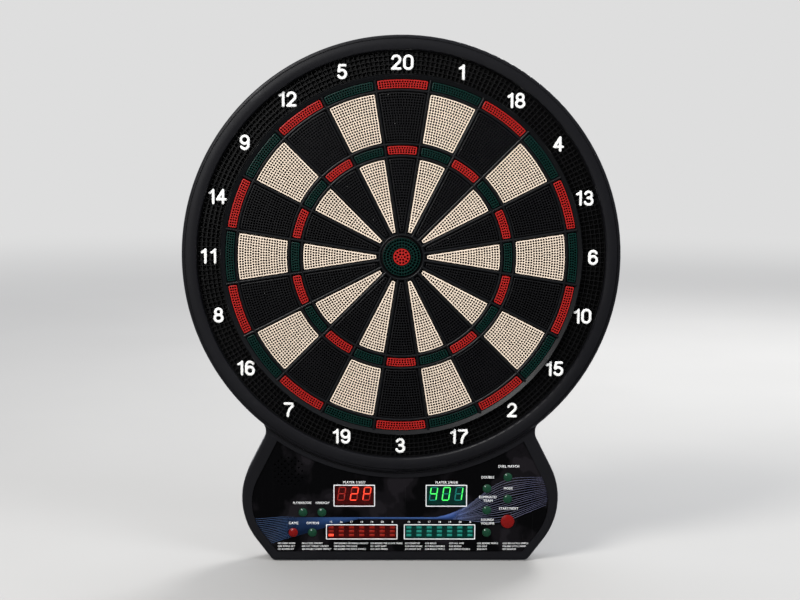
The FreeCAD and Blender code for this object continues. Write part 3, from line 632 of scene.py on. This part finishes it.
def smooth(x, xs, zs):
    """A smooth curve through places: a piecewise cubic whose slope at a place averages its neighbours'."""
    xs, zs = np.asarray(xs, float), np.asarray(zs, float)
    slope = np.gradient(zs, xs)
    k = np.clip(np.searchsorted(xs, x) - 1, 0, len(xs) - 2)
    w = xs[k + 1] - xs[k]
    t = (x - xs[k]) / w
    return (zs[k] * (1 + 2 * t) * (1 - t) ** 2 + zs[k + 1] * t * t * (3 - 2 * t)
            + slope[k] * w * t * (1 - t) ** 2 + slope[k + 1] * w * t * t * (t - 1))


# Upper and lower bounding curve of the light sweep: places along x, and their heights
RIGHT_X = (36, 50, 65, 80, 95, 110, 125, 148)
RIGHT_TOP = (-260.4, -256.6, -249.6, -238.2, -227.6, -221.4, -219.6, -219.2)
RIGHT_LOW = (-262.4, -262.7, -263.3, -264.6, -265.2, -262.6, -256.6, -246.6)
LEFT_X = (-147, -135, -122, -108, -92, -74, -58, -42)
LEFT_TOP = (-261.6, -261.2, -260.9, -260.6, -260.4, -260.4, -260.4, -260.4)
LEFT_LOW = (-292.0, -288.6, -285.0, -280.8, -276.0, -270.6, -266.4, -262.5)
RIGHT, LEFT = (RIGHT_X, RIGHT_TOP, RIGHT_LOW), (LEFT_X, LEFT_TOP, LEFT_LOW)
EDGE_X = (-150, -146.5, -141, -134, -128)  # left border of the printed panel, this far below the bull:
EDGE_DROP = (240, 262, 271, 281, 290)
RIGHT_LINES, LEFT_LINES = 18, 15
RIGHT_HALF, LEFT_HALF = (0.11, 0.15), 0.2  # half widths of the lines, by turns at the right
RIGHT_RIPPLE, LEFT_RIPPLE = (0.35, 13), (0.55, 9)  # height of a line's ripple, and its length over 2 pi
LEFT_BORDER = 1.2  # the left lines begin this far from the panel's border
FILLS = ((LEFT, -128, -42), (RIGHT, 36, 75))  # filled parts of the sweep, from and to along x
BAND, BAND_Z, BAND_HALF = (-42, 36), -261.4, 1.0  # the plain band between them


def between(x, curves, share):
    """Height at x of a curve that runs at a share of the way from the upper to the lower bounding curve."""
    xs, top, low = curves
    return smooth(x, xs, top) * (1 - share) + smooth(x, xs, low) * share


def light_trails():
    """Printed blue sweep: a band over the score bars that spreads into thin lines towards both flanks.

    Each line runs at an even share between the two bounding curves, plus a slight sine ripple along x."""
    lines, fill = Skin(), Skin()
    for k, share in enumerate(np.arange(RIGHT_LINES) / (RIGHT_LINES - 1)):
        x = np.linspace(62 - 12 * share, 147.2 - 7.5 * abs(share - 0.72) ** 1.2, 90)
        z = between(x, RIGHT, share) + RIGHT_RIPPLE[0] * np.sin(x / RIGHT_RIPPLE[1] + k)
        ribbon(lines, x, z, RIGHT_HALF[k % 2], PANEL_FRONT + INK, PANEL_FRONT + LINE_INK)
    for share in np.arange(LEFT_LINES) / (LEFT_LINES - 1):
        edge = np.interp(261.5 + 26.5 * share, EDGE_DROP, EDGE_X) + LEFT_BORDER
        x = np.linspace(edge, -104 - 2 * share, 60)
        z = between(x, LEFT, share) - LEFT_RIPPLE[0] * np.sin((x + 100) / LEFT_RIPPLE[1])
        ribbon(lines, x, z, LEFT_HALF, PANEL_FRONT + INK, PANEL_FRONT + LINE_INK)
    for curves, start, end in FILLS:
        x = np.linspace(start, end, 60)
        top, low = between(x, curves, 0), between(x, curves, 1)
        ribbon(fill, x, (top + low) / 2, (top - low) / 2, PANEL_FRONT, PANEL_FRONT + INK)
    x = np.linspace(*BAND, 40)
    ribbon(fill, x, np.full(len(x), BAND_Z), BAND_HALF, PANEL_FRONT, PANEL_FRONT + INK)
    return lines.arrays(), fill.arrays()


# ---------------------------------------------------------------- finishes

class Wire:
    """A value in a node tree. Arithmetic on it adds Math nodes."""

    def __init__(self, nodes, socket):
        self.nodes, self.socket = nodes, socket

    def math(self, operation, *values):
        return self.nodes.node("Math", {"operation": operation}, values)

    def __add__(self, other):
        return self.math("ADD", self, other)

    def __sub__(self, other):
        return self.math("SUBTRACT", self, other)

    def __rsub__(self, other):
        return self.math("SUBTRACT", other, self)

    def __mul__(self, other):
        return self.math("MULTIPLY", self, other)

    __radd__, __rmul__ = __add__, __mul__

    def above(self, edge, blur):
        """1 where the value is past an edge, 0 before it, with a smooth step between."""
        return self.nodes.node("MapRange", {"interpolation_type": "SMOOTHSTEP"},
                                {"Value": self, "From Min": edge - blur, "From Max": edge + blur})


class Nodes:
    """A node tree being put together."""

    def __init__(self, tree):
        self.tree = tree

    def put(self, node, key, value):
        """Links a wire to a node's input, or sets that input to a value."""
        if isinstance(value, Wire):
            self.tree.links.new(value.socket, node.inputs[key])
        else:
            node.inputs[key].default_value = value

    def node(self, kind, settings=None, inputs=(), out=0):
        """Adds a node: its settings first, then the values or links of its inputs."""
        made = self.tree.nodes.new("ShaderNode" + kind)
        for name, value in (settings or {}).items():
            if name == "stops":
                ramp = made.color_ramp.elements
                while len(ramp) < len(value):
                    ramp.new(1.0)
                for stop, (position, colour) in zip(ramp, value):
                    stop.position, stop.color = position, colour
            else:
                setattr(made, name, value)
        for key, value in inputs.items() if isinstance(inputs, dict) else enumerate(inputs):
            self.put(made, key, value)
        return Wire(self, made.outputs[out])


class Finish(Nodes):
    """A node material about one Principled shader. Sockets that stay the same all over are set first."""

    def __init__(self, name, sockets):
        self.material = bpy.data.materials.new(name)
        self.material.use_nodes = True
        super().__init__(self.material.node_tree)
        self.shader = self.tree.nodes["Principled BSDF"]
        for socket, value in sockets.items():
            self.put(self.shader, socket, value)
        self.place = self.node("TexCoord", out="Object")

    def made(self, base, roughness, height=None, relief=0.0, **others):
        """Feeds the shader its base colour, roughness, a bump of relief millimetres and other sockets."""
        if height:
            others["Normal"] = self.node("Bump", inputs={"Height": height, "Distance": relief * MM})
        for socket, value in {"Base Color": base, "Roughness": roughness, **others}.items():
            self.put(self.shader, socket.replace("_", " "), value)
        return self.material

    def mix(self, factor, a, b):
        return self.node("Mix", {"data_type": "RGBA"}, {0: factor, 6: a, 7: b}, 2)

    def noise(self, scale, detail=2.0, stretch=(1, 1, 1), roughness=0.5):
        place = self.place
        if stretch != (1, 1, 1):
            place = self.node("Mapping", inputs={"Vector": place, "Scale": stretch})
        return self.node("TexNoise", inputs={"Vector": place, "Scale": scale, "Detail": detail,
                                             "Roughness": roughness})

    def axis(self, name):
        return self.node("SeparateXYZ", inputs=[self.place], out=name)


def tone(*rgb):
    """Linear colour from display values of 0 to 255."""
    return tuple(round(v / 255 / 12.92 if v / 255 <= 0.04045 else ((v / 255 + 0.055) / 1.055) ** 2.4, 5)
                 for v in rgb) + (1.0,)


def scaled(colour, factor):
    """A colour made darker or lighter."""
    return tuple(min(v * factor, 1.0) for v in colour[:3]) + (1.0,)


def moulded(name, colour, roughness, grain, scratches, dust, specular):
    """Moulded plastic: an eroded-mould grain, slow drifts of tone and gloss, fine rubs and a little dust."""
    f = Finish(name, {"Specular IOR Level": specular})
    drift, rub = f.noise(11, 3), f.noise(70, 5, (1, 1, 0.25), 0.62)
    base = f.mix(drift, scaled(colour, 0.82), scaled(colour, 1.2))
    if dust:
        specks = f.noise(420, 3, roughness=0.7).above(0.69, 0.035)
        base = f.mix(specks * dust, base, tone(120, 118, 114))
    gloss = roughness + (drift - 0.5) * 0.10 + rub.above(0.62, 0.05) * (-0.12 * scratches)
    return f.made(base, gloss, f.noise(1500, 2) + rub * (0.25 * scratches), grain)


SHADED = 0.012  # share of the tone left deep in the holes: painted shade
HOLE_SHADE_DEPTH, HOLE_SHADE_BLUR = 0.55, 0.4  # how far below a key's face the painted shade begins, and over what distance


def key_plastic(name, colour, roughness, mark, glints=0.0):
    """Dart-worn plastic: mottled tone, scuffed spots, fine grain, painted glints if glints is set, and
    painted shade down in the holes.
    """
    f = Finish(name, {"Specular IOR Level": 0.2})
    patch, scuff = f.noise(45, 4), f.noise(900, 3, roughness=0.65)
    # painted shade: from just below the face, the walls and floors of the holes turn near black
    hole_shade = f.axis("Y").above((HOLE_SHADE_DEPTH - KEY_FRONT) * MM, HOLE_SHADE_BLUR * MM)
    base = f.mix(patch, scaled(colour, 0.86), scaled(colour, 1.1))
    worn = scuff.above(0.66, 0.04)
    base = f.mix(worn * mark, base, tone(150, 146, 138))
    if glints:
        # painted glints: sparse tiny pale specks that stand in for reflections on the black keys
        glint_specks = f.noise(520, 2, (1, 1, 0.5), 0.8).above(0.775, 0.01)
        base = f.mix(glint_specks * glints, base, tone(225, 225, 220))
    return f.made(f.mix(hole_shade, base, scaled(colour, SHADED)), roughness + (patch - 0.5) * 0.16 + worn * 0.2,
                  f.noise(2200, 2) + scuff * 0.5, 0.01)


def metal(name, colour, roughness, brushed=(1, 1, 1)):
    """Plated steel: fine streaks in gloss and height, and faint tarnish."""
    f = Finish(name, {"Metallic": 1.0})
    streak, tarnish = f.noise(900, 3, brushed), f.noise(130, 4)
    return f.made(f.mix(tarnish.above(0.55, 0.2), colour, scaled(colour, 0.72)),
                  roughness + streak * 0.16 + tarnish * 0.1, streak, 0.006)


def tinted_lens(name, colour, alpha):
    """Clear tinted acrylic window: seen through, with a polished face and a few hairline rubs."""
    f = Finish(name, {"Specular IOR Level": 0.25})
    haze, hair = f.noise(60, 3), f.noise(600, 2, (1, 1, 0.03)).above(0.71, 0.02)
    return f.made(f.mix(haze, scaled(colour, 0.9), scaled(colour, 1.15)), 0.06 + haze * 0.06 + hair * 0.2,
                  Alpha=alpha + hair * 0.08)


def light_bar(name, colour, glow, resin):
    """Diffusing bar of a display: cloudy resin that glows a little or a lot. Lit bars glow as LEDs do; on the
    unlit digits and the dim bars, which are off, the glow is painted light.
    """
    f = Finish(name, {"Emission Strength": glow})
    cloud = f.noise(700, 2)
    return f.made(f.mix(cloud, scaled(resin, 0.85), resin), 0.5,
                  Emission_Color=f.mix(cloud, scaled(colour, 0.86), colour))


def display_block(name, colour):
    """Cast face of a display module, dark tinted resin with a soft mottle, given a painted glow of its own
    tone.
    """
    # painted glow: the resin face emits its mottled tone though it holds no light
    f = Finish(name, {"Emission Strength": 0.55})
    mottle = f.noise(240, 3)
    shade = f.mix(mottle, scaled(colour, 0.7), scaled(colour, 1.2))
    return f.made(shade, 0.35 + mottle * 0.2, f.noise(1800, 2), 0.008, Emission_Color=shade)


FILM_GLOSS = 0.06  # specular level of the printed panel
PANEL_HALF = 150  # half the width of the printed panel


def printed_film(name):
    """Glossy black film: broad smoky grey shapes in the print, a lacquered face and faint hairlines."""
    f = Finish(name, {"Specular IOR Level": FILM_GLOSS})
    warp = f.node("VectorMath", {"operation": "MULTIPLY_ADD"},
                  [f.node("TexNoise", inputs={"Vector": f.place, "Scale": 9.0, "Detail": 2.0}, out=1),
                   (0.06, 0.06, 0.06), f.place])
    smoke = f.node("TexNoise", inputs={"Vector": warp, "Scale": 24.0, "Detail": 3.0})
    shape = smoke.above(0.5, 0.035) * 0.45 + smoke.above(0.6, 0.02) * 0.55
    hair = f.noise(500, 2, (1, 1, 0.04)).above(0.72, 0.02)
    return f.made(f.mix(shape, tone(7, 7, 8), tone(28, 26, 29)), 0.14 + smoke * 0.08 + hair * 0.12,
                  f.noise(300, 2), 0.004)


def ink(name, colour, spread):
    """Screen-printed ink: slightly uneven cover (down to spread of its tone) and a satin face."""
    f = Finish(name, {})
    cover = f.noise(800, 2)
    return f.made(f.mix(cover, scaled(colour, spread), colour), 0.42 + cover * 0.15, cover, 0.004)


def trail_ink(name, stops, shown):
    """Blue ink whose colour changes along x: stops holds places in millimetres and the colours there.

    shown takes the x coordinate and gives how far the ink covers the film, so that its ends fade out."""
    f = Finish(name, {"Specular IOR Level": FILM_GLOSS})
    x = f.axis("X")
    along = f.node("MapRange", inputs={"Value": x, "From Min": -PANEL_HALF * MM, "From Max": PANEL_HALF * MM})
    colour = f.node("ValToRGB", {"stops": [((at + PANEL_HALF) / (2 * PANEL_HALF), c) for at, c in stops]},
                    [along])
    cover = f.noise(260, 3)
    return f.made(f.mix(cover * 0.4, colour, tone(10, 10, 14)), 0.24 + cover * 0.1, Alpha=shown(x))


def fade(x, low, high):
    """From 0 to 1 as the x coordinate goes between two places in millimetres."""
    return x.above((low + high) / 2 * MM, (high - low) / 2 * MM)


def fibreboard(name):
    """Pressed hardboard: matted fibres in tone and height."""
    f = Finish(name, {"Specular IOR Level": 0.2})
    fibre, patch = f.noise(420, 5, (1, 1, 0.35), 0.7), f.noise(25, 3)
    return f.made(f.mix(fibre * 0.7 + patch * 0.3, tone(74, 56, 40), tone(122, 98, 74)),
                  0.75 + fibre * 0.15, fibre, 0.08)


def sensor_film(name):
    """Polyester sheet with fine printed carbon tracks running in rings and spokes."""
    f = Finish(name, {"Specular IOR Level": 0.5})
    rings = f.node("TexWave", {"wave_type": "RINGS", "rings_direction": "Y"},
                   {"Vector": f.place, "Scale": 42.0, "Distortion": 0.4})
    track = rings.above(0.82, 0.03)
    haze = f.noise(60, 3)
    sheet = f.mix(haze, tone(176, 182, 176), tone(200, 204, 198))
    return f.made(f.mix(track, sheet, tone(38, 38, 40)), 0.28 + track * 0.3 + haze * 0.1, track, 0.02)


def solder_mask(name):
    """Green lacquered board: copper tracks show as paler lines under the mask."""
    f = Finish(name, {"Specular IOR Level": 0.5})
    cells = f.node("TexVoronoi", {"feature": "DISTANCE_TO_EDGE", "distance": "MANHATTAN"},
                   {"Vector": f.place, "Scale": 190.0})
    track = 1 - cells.above(0.06, 0.02)
    return f.made(f.mix(track, tone(12, 66, 36), tone(48, 112, 62)), 0.3 + track * 0.1, track, 0.03)


def cell_wrap(name):
    """Shrink-wrapped cells: plain dark sleeve with one pale band, along x."""
    f = Finish(name, {"Specular IOR Level": 0.5})
    band = f.axis("X").above(-0.052, 0.0004)
    gloss = f.noise(90, 3)
    return f.made(f.mix(band, tone(46, 50, 58), tone(176, 150, 92)), 0.25 + gloss * 0.14, gloss, 0.02,
                  Metallic=0.35 + band * 0.4)


def speaker_finish(name):
    """Dark pressed frame and paper cone: felted fibres and a dusty face."""
    f = Finish(name, {"Specular IOR Level": 0.3})
    fibre = f.noise(650, 4, (1, 1, 0.5), 0.7)
    return f.made(f.mix(fibre, tone(18, 18, 19), tone(44, 43, 42)), 0.6 + fibre * 0.25, fibre, 0.04)


FINISH = {name: make(name, *values) for make, table in (
    (moulded, (  # tone, roughness, grain, scratches, dust, specular level
        ("housing_black", tone(22, 22, 25), 0.42, 0.014, 0.5, 0.05, 0.15),
        ("web_black", tone(17, 18, 20), 0.36, 0.010, 0.6, 0.0, 0.2),
        ("lattice_black", tone(13, 13, 14), 0.46, 0.012, 0.3, 0.1, 0.25),
        ("silicone_grey", tone(150, 150, 152), 0.6, 0.02, 0.2, 0.2, 0.3),
        ("chip_black", tone(28, 28, 30), 0.5, 0.012, 0.2, 0.1, 0.5),
        ("button_green", tone(24, 62, 44), 0.17, 0.006, 0.5, 0.0, 0.5),
        ("button_red", tone(118, 15, 13), 0.2, 0.006, 0.5, 0.0, 0.4))),
    (key_plastic, (  # tone, roughness, scuffs, painted glints
        ("key_black", tone(18, 18, 20), 0.4, 0.04, 0.8), ("key_cream", tone(243, 224, 203), 0.42, 0.08),
        ("key_red", tone(172, 31, 28), 0.36, 0.06), ("key_green", tone(5, 40, 35), 0.36, 0.05))),
    (ink, (  # tone, share of it left where the cover is thin
        ("numeral_white", tone(255, 255, 252), 0.94), ("panel_white", tone(255, 255, 255), 0.96),
        ("frame_white", tone(246, 246, 248), 0.92))),
    (metal, (  # tone, roughness, direction of its streaks
        ("plated_contacts", tone(214, 210, 200), 0.18),
        ("zinc_screws", tone(170, 172, 176), 0.24, (1, 0.1, 1)))),
    (tinted_lens, (("lens_red", tone(60, 4, 4), 0.25), ("lens_green", tone(3, 36, 32), 0.25))),
    (display_block, (("display_red", tone(62, 4, 4)), ("display_green", tone(3, 48, 42)))),
    (light_bar, (  # colour of the light, its strength, tone of the resin
        ("red_lit", tone(255, 70, 46), 3.2, tone(200, 60, 50)),
        # painted glow: the unlit and dim entries are bars that are off; their emission stands in for light on
        # their resin
        ("red_unlit", tone(150, 38, 32), 1.9, tone(120, 34, 28)),
        ("red_dim", tone(190, 48, 32), 0.7, tone(130, 30, 22)),
        ("green_lit", tone(70, 240, 96), 3.0, tone(60, 200, 90)),
        ("green_unlit", tone(24, 120, 110), 1.8, tone(26, 100, 90)),
        ("green_dim", tone(40, 160, 142), 0.9, tone(40, 130, 116)))),
    (trail_ink, (
        ("trail_lines", [
            (-147, tone(70, 90, 124)), (-118, tone(72, 98, 140)), (-100, tone(52, 76, 122)),
            (50, tone(96, 116, 170)), (72, tone(126, 134, 172)), (105, tone(136, 136, 162)),
            (130, tone(114, 116, 148)), (147, tone(86, 88, 116))],
         lambda x: 1 - fade(x, -118, -101) * (1 - fade(x, 48, 62))),
        ("trail_fill", [
            (-127, tone(20, 34, 56)), (-104, tone(24, 42, 72)), (-88, tone(28, 48, 82)),
            (-70, tone(40, 66, 110)), (30, tone(62, 92, 146)), (46, tone(64, 92, 156)),
            (58, tone(52, 74, 130)), (73, tone(50, 62, 104))],
         lambda x: fade(x, -127, -98) * (1 - fade(x, 48, 74))))),
    (fibreboard, [["pressed_board"]]), (sensor_film, [["sensor_sheet"]]), (solder_mask, [["solder_mask"]]),
    (cell_wrap, [["cell_sleeve"]]), (speaker_finish, [["speaker_black"]]), (printed_film, [["overlay_film"]]),
) for name, *values in table}
NODE_FINISH = {
    "housing_black": "front_housing rear_cover battery_door", "web_black": "spider",
    "overlay_film": "console_overlay", "pressed_board": "backing_board",
    "sensor_sheet": "membrane_lower membrane_upper", "silicone_grey": "return_pad",
    "solder_mask": "main_pcb", "chip_black": "pcb_components tact_switches dc_jack",
    "speaker_black": "speaker", "cell_sleeve": "batteries", "plated_contacts": "battery_contacts",
    "zinc_screws": "casing_screws inner_screws", "lens_red": "score_window_left cricket_window_left",
    "lens_green": "score_window_right cricket_window_right", "display_red": "led_digits_left led_bars_left",
    "display_green": "led_digits_right led_bars_right", "button_red": "button_game button_start",
    "button_green": "button_player button_handicap button_option button_match button_double button_master "
                    "button_team button_sound"}


# ---------------------------------------------------------------- building

def finish_nodes():
    """Gives every carried-over node its finish."""
    for finish, names in NODE_FINISH.items():
        for name in names.split():
            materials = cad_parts[name].data.materials
            for k in range(len(materials)):
                materials[k] = FINISH[finish]


def target():
    """The 80 keys of the target and the two bull keys."""
    shapes = {band: key(*sizes) for band, sizes in BANDS.items()}
    for k, number in enumerate(NUMBERS):
        node = f"segments_{k + 1:02d}"
        for band, (points, triangles) in shapes.items():
            pair = ("red", "green") if band in ("double", "treble") else ("black", "cream")
            colour = "key_" + pair[k % 2]
            made = piece(f"{band}_{number:02d}", turned(points, SECTOR * k), triangles, FINISH[colour], node,
                         colour, smooth=38)
            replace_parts(made, node)
    for name, make, colour in (("bull_outer", bull_outer, "key_green"),
                               ("bull_inner", bull_inner, "key_red")):
        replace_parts(piece(name + "_key", *make(), FINISH[colour], name, colour, smooth=38), name)


def number_ring():
    """The catch ring's lattice and the twenty numbers on it."""
    made = piece("catch_lattice", *catch_ring(), FINISH["lattice_black"], "board", "web_black", smooth=30)
    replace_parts(made, "catch_ring")
    for k, number in enumerate(NUMBERS):
        angle = SECTOR * k
        points, triangles = numeral(number, NUMERAL_R * math.sin(angle) + NUMERAL_SHIFT,
                                    NUMERAL_R * math.cos(angle))
        piece(f"number_{number:02d}", points, triangles, FINISH["numeral_white"], "board", "key_cream",
              smooth=50)


def console():
    """Displays, printed frames, words and light trails of the panel."""
    display("left", " 2P", "red", lit_bar=True)
    display("right", "401", "green", lit_bar=False)
    piece("window_frames", *window_frames(), FINISH["frame_white"], "board", "overlay_print")
    piece("panel_lettering", *panel_lettering(), FINISH["panel_white"], "board", "overlay_print")
    lines, fill = light_trails()
    piece("light_trails", *lines, FINISH["trail_lines"], "board", "overlay_print")
    piece("light_sweep", *fill, FINISH["trail_fill"], "board", "overlay_print")


BACKDROP = tone(222, 222, 222)
FLOOR_HALF, FLOOR_GAP = 6, 0.0004  # metres: half the floor's side, and its distance under the board
FLOOR_FADE = (2.6, 1.9)  # it fades into the backdrop about this far out, over this distance
WORLD = {  # light from the surroundings grows with height and towards the back: from, to, least, most
    "Z": (0.25, 0.85, 0.06, 0.8), "Y": (0.0, 0.5, 0.0, 0.9)}
LAMPS = (  # name, place, size, power, colour, whether it lights matt faces, whether it shows in glossy ones
    ("key_lamp", (-1.3, -1.3, 1.5), 0.8, 50, (1.0, 0.98, 0.95), True, True),
    ("fill_lamp", (1.6, -1.3, 0.7), 1.0, 25, (0.95, 0.97, 1.0), True, False),
    ("glint_lamp", (-0.7, -1.9, 0.55), 0.3, 12, (1.0, 1.0, 1.0), False, True),
    ("back_lamp", (1.0, 1.7, 1.3), 0.8, 45, (1.0, 1.0, 1.0), True, True))
LAMP_AIM = Vector((0, 0, -0.03))


def pale_floor():
    """Plain pale floor under the board. Far out it turns into the backdrop, so that no horizon shows."""
    base, side = cad_box[0].z - FLOOR_GAP, FLOOR_HALF
    mesh = bpy.data.meshes.new("floor")
    mesh.from_pydata([(-side, -side, base), (side, -side, base), (side, side, base), (-side, side, base)], [],
                     [(0, 1, 2, 3)])
    floor = bpy.data.objects.new("floor", mesh)
    bpy.context.scene.collection.objects.link(floor)
    pale = Finish("floor_pale", {"Specular IOR Level": 0.0, "Emission Strength": 1.0})
    far = pale.node("VectorMath", {"operation": "LENGTH"}, [pale.place], "Value").above(*FLOOR_FADE)
    near, dark = pale.mix(pale.noise(3, 3), tone(168, 167, 165), tone(174, 173, 171)), tone(0, 0, 0)
    glow = pale.mix(far, dark, BACKDROP)
    mesh.materials.append(pale.made(pale.mix(far, near, dark), 0.9, Emission_Color=glow))
    floor.visible_glossy = False


def surroundings():
    """World: an even pale backdrop to look at, and graded light that falls on the board."""
    world = bpy.data.worlds.new("studio")
    bpy.context.scene.world = world
    world.use_nodes = True
    sky = Nodes(world.node_tree)
    place = sky.node("TexCoord", out="Generated")
    strength = sum(sky.node("MapRange", inputs={
        "Value": sky.node("SeparateXYZ", inputs=[place], out=axis), "From Min": start, "From Max": end,
        "To Min": least, "To Max": most}) for axis, (start, end, least, most) in WORLD.items())
    cast = sky.node("Background", inputs={"Color": tone(240, 243, 250), "Strength": strength})
    seen = sky.node("Background", inputs={"Color": BACKDROP})
    both = sky.node("MixShader", inputs=[sky.node("LightPath", out="Is Camera Ray"), cast, seen])
    sky.put(sky.tree.nodes["World Output"], "Surface", both)


def studio():
    """Floor, surroundings, and soft lamps: the main one at the upper left, and one behind for the back."""
    pale_floor()
    surroundings()
    bpy.context.scene.view_settings.view_transform = "Standard"
    for name, place, size, power, colour, matt, glossy in LAMPS:
        lamp = bpy.data.lights.new(name, "AREA")
        lamp.size, lamp.energy, lamp.color = size, power, colour
        holder = bpy.data.objects.new(name, lamp)
        holder.visible_diffuse, holder.visible_glossy = matt, glossy
        holder.location = place
        holder.rotation_euler = (LAMP_AIM - Vector(place)).to_track_quat("-Z", "Y").to_euler()
        bpy.context.scene.collection.objects.link(holder)


CAMERA_PLACE = (-0.0282, -1.500, 0.1341)
CAMERA_TURN = (1.045, -6.848, 0.31)  # degrees to the right, up, and leaning to the right


def camera():
    """Nearly square on, from above and a little to the left, leaning a third of a degree."""
    lens = bpy.data.cameras.new("camera")
    lens.lens, lens.sensor_width = 68.0, 36.0
    lens.clip_start, lens.clip_end = 0.05, 30
    yaw, pitch, roll = map(math.radians, CAMERA_TURN)
    holder = bpy.data.objects.new("camera", lens)
    holder.matrix_world = (Matrix.Rotation(-yaw, 4, "Z") @ Matrix.Rotation(math.pi / 2 + pitch, 4, "X")
                           @ Matrix.Rotation(roll, 4, "Z"))
    holder.location = CAMERA_PLACE
    bpy.context.scene.collection.objects.link(holder)
    bpy.context.scene.camera = holder


finish_nodes()
target()
number_ring()
console()
studio()
camera()
bpy.context.view_layer.update()
